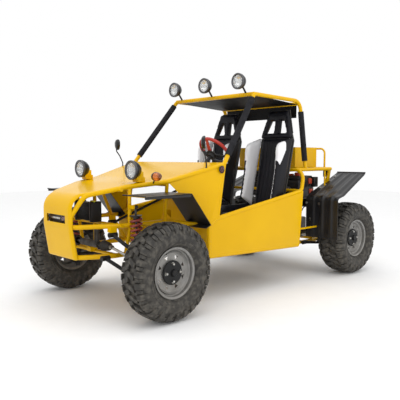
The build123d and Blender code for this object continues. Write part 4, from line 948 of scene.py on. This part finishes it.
# Radiator box: black steel box behind the nose, on the mid rails, with a finned core, a tank at each side
# and two caps on its top, whose yellow-green colour is a painted highlight, the glint of the yellow body on
# the box.
# Painted highlight: the caps' yellow-green stands in for yellow-green glints on the dark box.
caps_painted_highlight = finish_node("caps_painted_highlight", (0.55, 0.62, 0.05), 0.4, spots=(0.45, 0.52, 0.04), spot_scale=30.0,
                        grain_scale=300.0, grain=0.1)
core_half, core_fins, fin_half, fin_bevel = 0.080, 14, 0.0015, 0.0008
core_low, core_high, core_front, core_back = 0.618, 0.730, -1.240, -1.164
cap_places, cap_level = ((0.095, -1.215), (0.060, -1.205)), 0.7355
cap_profile = [(0, 0.0), (0.012, 0.0), (0.013, 0.003), (0.013, 0.011), (0.010, 0.014), (0, 0.014)]
cooler = Lump()
add_blocks(cooler, [
    ((-0.108, -1.230, 0.612), (0.108, -1.174, 0.736), 0.004, 2, 0),
    ((-0.110, -1.245, 0.6045), (-0.080, -1.159, 0.745), 0.010, 3, 0),
    ((0.080, -1.245, 0.6045), (0.110, -1.159, 0.745), 0.010, 3, 0),
])
for fin in range(core_fins):
    level = core_low + (core_high - core_low) * fin / (core_fins - 1)
    cooler.add(*rounded_block((-core_half, core_front, level - fin_half),
                              (core_half, core_back, level + fin_half), fin_bevel, 1), 0)
for cap_x, cap_y in cap_places:
    cooler.add(*turned(cap_profile, Matrix.Translation((cap_x, cap_y, cap_level)), 18), 1)
cooler_piece = cooler.place("radiator_box", [arm_black, caps_painted_highlight], slot="black_paint", smooth_angle=40)
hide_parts("radiator")

# Rack boots: pleated rubber sleeves over the rack's ends, clamped to the rods, which carry them along.
# They taper outwards and end in a plain cuff.
rubber_black = finish_node("rubber_black", (0.012, 0.012, 0.013), 0.6, spots=(0.022, 0.021, 0.020),
                           spot_scale=30.0, grain_scale=260.0, grain=0.2, dust=road_dust, dust_top=0.9,
                           dust_share=0.3)
boot_start, boot_end, boot_pleats, boot_y, boot_z = 0.160, 0.246, 6, -1.185, 0.450
pleat_radius, pleat_taper, pleat_depth = 0.037, 0.012, 0.009
mouth_radius, mouth_bore, cuff_radius, cuff_bore, cuff_length = 0.0255, 0.0245, 0.013, 0.0095, 0.010
boot_length = boot_end - boot_start
pleat_run = (boot_length - cuff_length) / boot_pleats
boot_line = [(mouth_radius, 0.0)]
for pleat in range(boot_pleats):
    outer = pleat_radius - pleat_taper * pleat / boot_pleats
    boot_line += [(outer - pleat_depth, pleat_run * pleat + 0.002), (outer, pleat_run * (pleat + 0.5)),
                  (outer - pleat_depth, pleat_run * (pleat + 1) - 0.001)]
boot_line += [(cuff_radius, boot_length - 0.008), (cuff_radius, boot_length), (cuff_bore, boot_length),
              (cuff_bore, boot_length - cuff_length), (mouth_bore, 0.003)]
boot_pair = Lump()
for side in (-1, 1):
    boot_pair.add(*turned(boot_line, along_x(boot_start * side, boot_y, boot_z, side), 28, closed=True))
boot_pair.place("rack_boots", [rubber_black], body="tie_rods", slot="black_plastic", smooth_angle=60)

# Engine: a cast crankcase with ribs on its top, a gearbox behind it and a finned cylinder, bolted between
# the rails. An air box and a fuel tank sit over it on zinc stays, with hoses and small red and black parts.
case_dark = finish_node("case_dark", (0.075, 0.072, 0.068), 0.48, metallic=0.7, spots=(0.045, 0.042, 0.038),
                        spot_scale=24.0, grain_scale=240.0, grain=0.35)
coil_red = finish_node("coil_red", (0.50, 0.055, 0.018), 0.45, spots=(0.38, 0.04, 0.014), spot_scale=30.0,
                       grain_scale=300.0, grain=0.15)
fin_count, fin_pitch, fin_low, fin_thick = 9, 0.022, 0.655, 0.005
rib_count, rib_pitch, rib_first_y, rib_thick = 7, 0.052, 0.672, 0.007
# Castings, then fins and ribs: (low corner, high corner, bevel, bevel segments, finish).
casting_rows = [
    ((-0.170, 0.640, 0.263), (0.170, 1.010, 0.640), 0.022, 4, 0),
    ((-0.120, 1.000, 0.263), (0.120, 1.200, 0.460), 0.018, 4, 0),
    ((-0.088, 0.708, 0.630), (0.088, 0.862, 0.842), 0.012, 3, 1),
    ((-0.096, 0.700, 0.838), (0.096, 0.870, 0.860), 0.008, 3, 1),
]
for fin in range(fin_count):
    level = fin_low + fin_pitch * fin
    casting_rows.append(((-0.110, 0.690, level), (0.110, 0.880, level + fin_thick), 0.0018, 1, 0))
for rib in range(rib_count):
    rib_y = rib_first_y + rib_pitch * rib
    casting_rows.append(((-0.158, rib_y, 0.634), (0.158, rib_y + rib_thick, 0.646), 0.002, 1, 0))
motor = Lump()
add_blocks(motor, casting_rows)
motor_piece = motor.place("engine_castings", [bare_casting, case_dark], slot="cast_metal", smooth_angle=40)
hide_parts("engine")
# Air box and its lid, tank, two stays, then fittings: the same columns, with plastic, rubber, zinc and red.
bay_rows = [
    ((0.130, 0.775, 0.665), (0.330, 1.000, 0.842), 0.020, 4, 0),
    ((0.136, 0.781, 0.838), (0.324, 0.994, 0.872), 0.010, 3, 1),
    ((-0.340, 0.775, 0.665), (-0.130, 1.020, 0.880), 0.030, 4, 0),
    ((-0.164, 0.790, 0.634), (-0.132, 0.960, 0.670), 0.003, 2, 2),
    ((0.132, 0.790, 0.634), (0.164, 0.960, 0.670), 0.003, 2, 2),
    ((0.262, 0.800, 0.868), (0.312, 0.868, 0.904), 0.006, 3, 3),
    ((0.180, 0.905, 0.868), (0.225, 0.950, 0.897), 0.006, 3, 3),
    ((0.315, 0.930, 0.700), (0.338, 0.985, 0.752), 0.005, 2, 3),
    ((0.335, 0.800, 0.780), (0.372, 0.860, 0.868), 0.006, 2, 0),
    ((0.340, 0.880, 0.800), (0.368, 0.925, 0.850), 0.006, 2, 3),
    ((0.338, 0.945, 0.770), (0.378, 1.005, 0.862), 0.006, 2, 0),
    ((0.150, 0.840, 0.868), (0.168, 0.925, 0.888), 0.006, 2, 3),
    ((0.100, 0.985, 0.660), (0.300, 1.050, 0.780), 0.006, 2, 0),
    ((0.120, 1.046, 0.700), (0.180, 1.062, 0.742), 0.006, 2, 3),
    ((0.215, 1.046, 0.690), (0.262, 1.060, 0.760), 0.006, 2, 2),
    ((-0.330, 1.018, 0.700), (-0.250, 1.050, 0.790), 0.006, 2, 0),
]
tank_cap_place = (-0.235, 0.880, 0.876)
tank_cap_profile = [(0, 0.0), (0.024, 0.0), (0.026, 0.004), (0.026, 0.018), (0.022, 0.022), (0, 0.022)]
# Hoses, fixed at both ends: (points, radius).
hose_routes = [
    ([(0.222, 0.780, 0.760), (0.215, 0.752, 0.765), (0.170, 0.742, 0.775), (0.120, 0.752, 0.780),
      (0.092, 0.770, 0.780)], 0.019),
    ([(-0.180, 0.782, 0.700), (-0.175, 0.755, 0.705), (-0.120, 0.748, 0.720), (-0.085, 0.760, 0.730)], 0.006),
    ([(0.287, 0.834, 0.900), (0.290, 0.834, 0.912), (0.270, 0.800, 0.918), (0.190, 0.770, 0.910),
      (0.110, 0.770, 0.880), (0.060, 0.785, 0.862)], 0.0045),
    ([(0.330, 0.957, 0.726), (0.346, 0.957, 0.724), (0.352, 0.985, 0.690), (0.300, 1.040, 0.640),
      (0.180, 1.060, 0.560), (0.110, 1.070, 0.455)], 0.005),
]
bay_parts = Lump()
add_blocks(bay_parts, bay_rows)
bay_parts.add(*turned(tank_cap_profile, Matrix.Translation(tank_cap_place), 24), 0)
for route, radius in hose_routes:
    bay_parts.add(*swept(route, radius, 12), 1)
bay_parts.place("engine_bay_parts", [guard_plastic, rubber_black, zinc_plate, coil_red],
                slot="black_plastic", smooth_angle=50)

# Cargo hoop: bent 18 mm tube, enamelled with the frame, whose two feet stand on the rear deck tube.
# It holds luggage in the box from behind.
hoop_half, hoop_foot_z, hoop_top_z, hoop_y = 0.385, 0.949, 1.120, 1.092
hoop_bend, hoop_radius = 0.045, 0.009
hoop_line = rounded_line([(-hoop_half, hoop_foot_z), (-hoop_half, hoop_top_z), (hoop_half, hoop_top_z),
                          (hoop_half, hoop_foot_z)], [hoop_bend, hoop_bend])
hoop = Lump()
hoop.add(*swept([(x, hoop_y, z) for x, z in hoop_line], hoop_radius, 14))
hoop.place("cargo_hoop", [yellow_enamel], slot="yellow_paint")

# Slot fittings and side reflectors: a black plate, painted shade that fills the dark inside of the nose slot,
# with a bright bar and a red reflector in the slot, and a round red reflector with a black rim at the rear
# corner of each upper side panel.
reflector_x, reflector_y, reflector_z = 0.5475, -0.445, 0.955
reflector_rim_profile = [(0, 0.0), (0.026, 0.0), (0.027, 0.003), (0.024, 0.006), (0, 0.006)]
reflector_lens_profile = [(0, 0.006), (0.022, 0.006), (0.020, 0.0085), (0, 0.010)]
trim_set = Lump()
add_blocks(trim_set, [
    # Painted shade: this black plate stands for the shadow inside the slot.
    ((-0.132, -1.4185, 0.604), (0.132, -1.4120, 0.680), 0.002, 2, 0),
    ((-0.112, -1.4270, 0.634), (0.020, -1.4180, 0.650), 0.004, 3, 1),
    ((0.040, -1.4290, 0.626), (0.104, -1.4180, 0.660), 0.005, 3, 2),
])
for side in (-1, 1):
    reflector_place = along_x(reflector_x * side, reflector_y, reflector_z, side)
    trim_set.add(*turned(reflector_rim_profile, reflector_place, 32), 0)
    trim_set.add(*turned(reflector_lens_profile, reflector_place, 32), 2)
trim_set.place("slot_and_reflectors", [guard_plastic, zinc_plate, red_glass], slot="black_plastic",
               smooth_angle=50)

# Bolts: zinc hexagon heads on round washers, through the rear mudguards into their stays.
# They stand square to the sheet, so they point forwards on its front and up on its sloping top.
guard_front, guard_slope = (0, -1, 0), (0, -0.37, 0.93)
bolt_rows = [((0.430, 0.7535, 0.640), guard_front), ((0.560, 0.7535, 0.640), guard_front),
             ((0.470, 0.7535, 0.500), guard_front), ((0.430, 0.960, 0.7665), guard_slope),
             ((0.430, 1.200, 0.8620), guard_slope)]
bolt_sizes = {"Head Radius": 0.0085, "Head Height": 0.012, "Washer Radius": 0.013}
washer_height, washer_sides = 0.003, 20


def bolt_tree():
    """Geometry Nodes tree that sets a hexagon head and its washer on every point of a mesh."""
    tree, given, made = geometry_tree("bolts_on_points", {**{label: "Float" for label in bolt_sizes},
                                                          "Finish": "Material"})
    head = add_node(tree, "GeometryNodeMeshCylinder", {"Vertices": 6})
    washer = add_node(tree, "GeometryNodeMeshCylinder", {"Vertices": washer_sides, "Depth": washer_height})
    join = add_node(tree, "GeometryNodeJoinGeometry")
    way = add_node(tree, "GeometryNodeInputNamedAttribute", {"Name": "way"}, data_type="FLOAT_VECTOR")
    turn = add_node(tree, "FunctionNodeAlignRotationToVector", axis="Z")
    points = add_node(tree, "GeometryNodeMeshToPoints")
    copies = add_node(tree, "GeometryNodeInstanceOnPoints")
    realize = add_node(tree, "GeometryNodeRealizeInstances")
    finish = add_node(tree, "GeometryNodeSetMaterial")
    link_nodes(tree, (given, "Head Radius", head, "Radius"), (given, "Head Height", head, "Depth"),
               (given, "Washer Radius", washer, "Radius"), (head, "Mesh", join, 0), (washer, "Mesh", join, 0),
               (way, "Attribute", turn, "Vector"), (given, "Geometry", points, 0),
               (points, 0, copies, "Points"), (join, 0, copies, "Instance"),
               (turn, "Rotation", copies, "Rotation"), (copies, 0, realize, 0),
               (realize, 0, finish, "Geometry"), (given, "Finish", finish, "Material"), (finish, 0, made, 0))
    return tree


bolts = add_mesh("panel_bolts", [(x * side, y, z) for (x, y, z), _ in bolt_rows for side in (1, -1)], [],
                 zinc_plate, smooth=False)
bolt_ways = bolts.data.attributes.new("way", "FLOAT_VECTOR", "POINT")
bolt_ways.data.foreach_set("vector", [value for _, way in bolt_rows for side in (1, -1) for value in way])
remade(bolts, bolt_tree(), {**bolt_sizes, "Finish": zinc_plate})
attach(bolts, "chassis")

# Seats: foam under stretched vinyl on a black shell. The middle of the back is black with four upright
# channels, the head is an open A with two holes for a harness, and the deep side wings are silver inside.
seat_black = finish_node("seat_black", (0.005, 0.005, 0.0075), 0.42, spots=(0.009, 0.009, 0.013),
                         spot_scale=9.0, grain_scale=700.0, grain=0.25, specular=0.2)
seat_silver = finish_node("seat_silver", (0.90, 0.90, 0.92), 0.36, spots=(0.84, 0.84, 0.86), spot_scale=6.0,
                          grain_scale=700.0, grain=0.18)
shell_black = finish_node("shell_black", (0.016, 0.016, 0.017), 0.45, spots=(0.028, 0.027, 0.026),
                          spot_scale=12.0, grain_scale=220.0, grain=0.2)
seat_middle_x = 0.295
# Face of the back: (z, y).
back_line = [(0.560, 0.330), (0.900, 0.410), (1.180, 0.460), (1.450, 0.505)]
cloth_pressure, cloth_frames = 4.0, 20
soft_fill, firm_fill = 0.7, 0.8


def back_face(z):
    """How far back the front of the seat's back lies at that height."""
    for (low_z, low_y), (high_z, high_y) in zip(back_line, back_line[1:]):
        if z <= high_z or high_z == back_line[-1][0]:
            return low_y + (high_y - low_y) * (z - low_z) / (high_z - low_z)


def prism(front, back):
    """Closed solid between two rows of matching corners."""
    count = len(front)
    verts = [Vector(p) for p in list(front) + list(back)]
    faces = [tuple(range(count)), tuple(reversed(range(count, 2 * count)))]
    for index in range(count):
        after = (index + 1) % count
        faces.append((index, index + count, after + count, after))
    return verts, faces


def back_slab(outline, thickness, inset=0.0):
    """Slab of the seat's back on an (x, z) outline, its face set in behind the face of the back."""
    front = [(seat_middle_x + x, back_face(z) + inset, z) for x, z in outline]
    return prism(front, [(x, y + thickness, z) for x, y, z in front])


def stuffed(name, solids, voxel, cap):
    """Solids merged into one even mesh, swollen like foam under a cover, none of it further than the cap."""
    lump = Lump()
    for verts, faces in solids:
        lump.add(verts, faces)
    pad = lump.place(name, [seat_black, seat_silver], body=None)
    even = pad.modifiers.new("even_mesh", "REMESH")
    even.mode = "VOXEL"
    even.voxel_size = voxel
    baked(pad)
    smooth = pad.modifiers.new("smooth", "SMOOTH")
    smooth.factor = 0.5
    smooth.iterations = 3
    baked(pad)
    start = [v.co.copy() for v in pad.data.vertices]
    cloth = pad.modifiers.new("swell", "CLOTH")
    cloth.settings.use_pressure = True
    cloth.settings.uniform_pressure_force = cloth_pressure
    cloth.settings.effector_weights.gravity = 0.0
    for step in range(1, cloth_frames + 1):
        bpy.context.scene.frame_set(step)
    baked(pad)
    bpy.context.scene.frame_set(1)
    for vert, origin in zip(pad.data.vertices, start):
        moved = vert.co - origin
        if moved.length > cap:
            vert.co = origin + moved.normalized() * cap
    pad.modifiers.new("round", "SUBSURF").levels = 1
    baked(pad)
    pad.data.polygons.foreach_set("use_smooth", [True] * len(pad.data.polygons))
    return pad


def side_pads(kind, reaches, line, cap, silver):
    """Inner and outer pad of a kind: a (y, z) outline between two distances from the seat's middle."""
    pads = []
    for side, label in ((-1, "inner"), (1, "outer")):
        walls = [[(seat_middle_x + side * reach, y, z) for y, z in line] for reach in reaches]
        pad = stuffed(kind + label, [prism(*walls)], voxel=0.008, cap=cap)
        for face in pad.data.polygons:
            face.material_index = 1 if silver(face, side) else 0
        pads.append(pad)
    return pads


def wing_silver(face, side):
    """Silver on the inner face of a wing, and on a leaf-shaped patch of its edge at shoulder height."""
    leaf_low = leaf_tip_z + leaf_slope * abs(face.center.y - leaf_middle_y)
    return -face.normal.x * side > wing_lean or (face.center.z > leaf_low and face.center.y < leaf_back_y)


def bolster_silver(face, side):
    """Silver on the nose of the outer bolster, down to its underside."""
    return side > 0 and face.center.y < bolster_nose_y and face.normal.z > bolster_lean


# Outlines of the head's pads: (x from the seat's middle, z).
head_outlines = [
    [(-0.096, 1.436), (0.096, 1.436), (0.122, 1.358), (-0.122, 1.358)],
    [(-0.122, 1.360), (-0.070, 1.360), (-0.118, 1.240), (-0.154, 1.240)],
    [(0.070, 1.360), (0.122, 1.360), (0.154, 1.240), (0.118, 1.240)],
    [(-0.022, 1.360), (0.022, 1.360), (0.022, 1.240), (-0.022, 1.240)],
    [(-0.154, 1.245), (0.154, 1.245), (0.156, 1.205), (-0.156, 1.205)],
]
head_slabs = [back_slab(outline, thickness=0.036, inset=0.006) for outline in head_outlines]
head_pad = stuffed("seat_head", head_slabs, voxel=0.0065, cap=0.006)
middle_outline = [(-0.140, 0.605), (0.140, 0.605), (0.146, 0.900), (0.146, 1.205), (-0.146, 1.205),
                  (-0.146, 0.900)]
middle_pad = stuffed("seat_middle", [back_slab(middle_outline, thickness=0.034, inset=0.010)],
                     voxel=0.009, cap=0.009)
# Sewn channels pressed into the front of the middle pad.
channel_places, channel_depth, channel_half = (-0.075, -0.025, 0.025, 0.075), 0.007, 0.010
channel_low, channel_high, front_depth = 0.66, 1.17, 0.02
for vert in middle_pad.data.vertices:
    if channel_low < vert.co.z < channel_high and vert.co.y < back_face(vert.co.z) + front_depth:
        for place in channel_places:
            away = abs(vert.co.x - seat_middle_x - place)
            if away < channel_half:
                vert.co.y += channel_depth * (1 - (away / channel_half) ** 2)
leaf_tip_z, leaf_slope, leaf_middle_y, leaf_back_y, wing_lean = 0.98, 1.6, 0.30, 0.375, 0.2
wing_line = [(0.352, 0.612), (0.215, 0.694), (0.262, 0.930), (0.282, 1.128), (0.312, 1.165), (0.490, 1.215)]
wing_pads = side_pads("seat_wing_", (0.151, 0.182), wing_line, cap=0.009, silver=wing_silver)
cushion_half, cushion_low, cushion_front, cushion_back = 0.142, 0.50, (-0.070, 0.590), (0.325, 0.572)
cushion_ends = []
for y, top in (cushion_front, cushion_back):
    corners = ((-1, cushion_low), (1, cushion_low), (1, top), (-1, top))
    cushion_ends.append([(seat_middle_x + cushion_half * side, y, z) for side, z in corners])
cushion_pad = stuffed("seat_cushion", [prism(*cushion_ends)], voxel=0.009, cap=0.008)
bolster_nose_y, bolster_lean = 0.07, -0.3
bolster_line = [(-0.048, 0.45), (-0.048, 0.615), (0.010, 0.650), (0.335, 0.650), (0.335, 0.45)]
bolster_pads = side_pads("seat_bolster_", (0.158, 0.187), bolster_line, cap=0.007, silver=bolster_silver)

# Hard parts of each seat: a moulded shell behind the pads, a tray under the cushion, the plinth and two
# runners on the floor, all in black.
shell_outlines = [
    [(-0.148, 0.570), (0.148, 0.570), (0.164, 0.900), (0.176, 1.180), (0.150, 1.244), (-0.150, 1.244),
     (-0.176, 1.180), (-0.164, 0.900)],
    [(-0.100, 1.444), (0.100, 1.444), (0.124, 1.350), (-0.124, 1.350)],
    [(-0.124, 1.354), (-0.074, 1.354), (-0.122, 1.242), (-0.156, 1.242)],
    [(0.074, 1.354), (0.124, 1.354), (0.156, 1.242), (0.122, 1.242)],
    [(-0.025, 1.354), (0.025, 1.354), (0.025, 1.242), (-0.025, 1.242)],
]
runner_places, runner_half = (seat_middle_x - 0.100, seat_middle_x + 0.100), 0.018
shell_rows = [((0.145, -0.076, 0.432), (0.445, 0.372, 0.496), 0.010, 3, 0),
              ((0.176, -0.039, 0.372), (0.414, 0.279, 0.431), 0.006, 2, 0)]
shell_rows += [((x - runner_half, -0.030, 0.3565), (x + runner_half, 0.270, 0.373), 0.003, 2, 0)
               for x in runner_places]
shell = Lump()
for outline in shell_outlines:
    shell.add(*back_slab(outline, thickness=0.012, inset=0.037))
add_blocks(shell, shell_rows)


def for_both_seats(name, source, materials, slot, fill=None):
    """The piece on the left seat and its twin on the right one, in place of the plain seats."""
    for seat, turn in (("left", 1), ("right", -1)):
        lump = Lump()
        verts = source.verts if turn > 0 else flipped(source.verts)
        lump.add(verts, source.faces)
        lump.finishes = list(source.finishes)
        piece = lump.place(name + "_" + seat, materials, slot=slot, smooth_angle=60, weld=fill is None)
        if fill is not None:
            if turn < 0:
                piece.data.flip_normals()
        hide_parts("seat_" + seat)


for_both_seats("seat_shell", shell, [shell_black], "black_plastic")
pad_fills = [(head_pad, soft_fill), (middle_pad, soft_fill), (cushion_pad, soft_fill)]
pad_fills += [(pad, firm_fill) for pad in wing_pads + bolster_pads]
for pad, fill in pad_fills:
    name = pad.name + "_pad"
    finishes = [face.material_index for face in pad.data.polygons]
    source = Lump()
    source.absorb(pad)
    source.finishes = finishes
    for_both_seats(name, source, [seat_black, seat_silver], "seat_cover", fill)
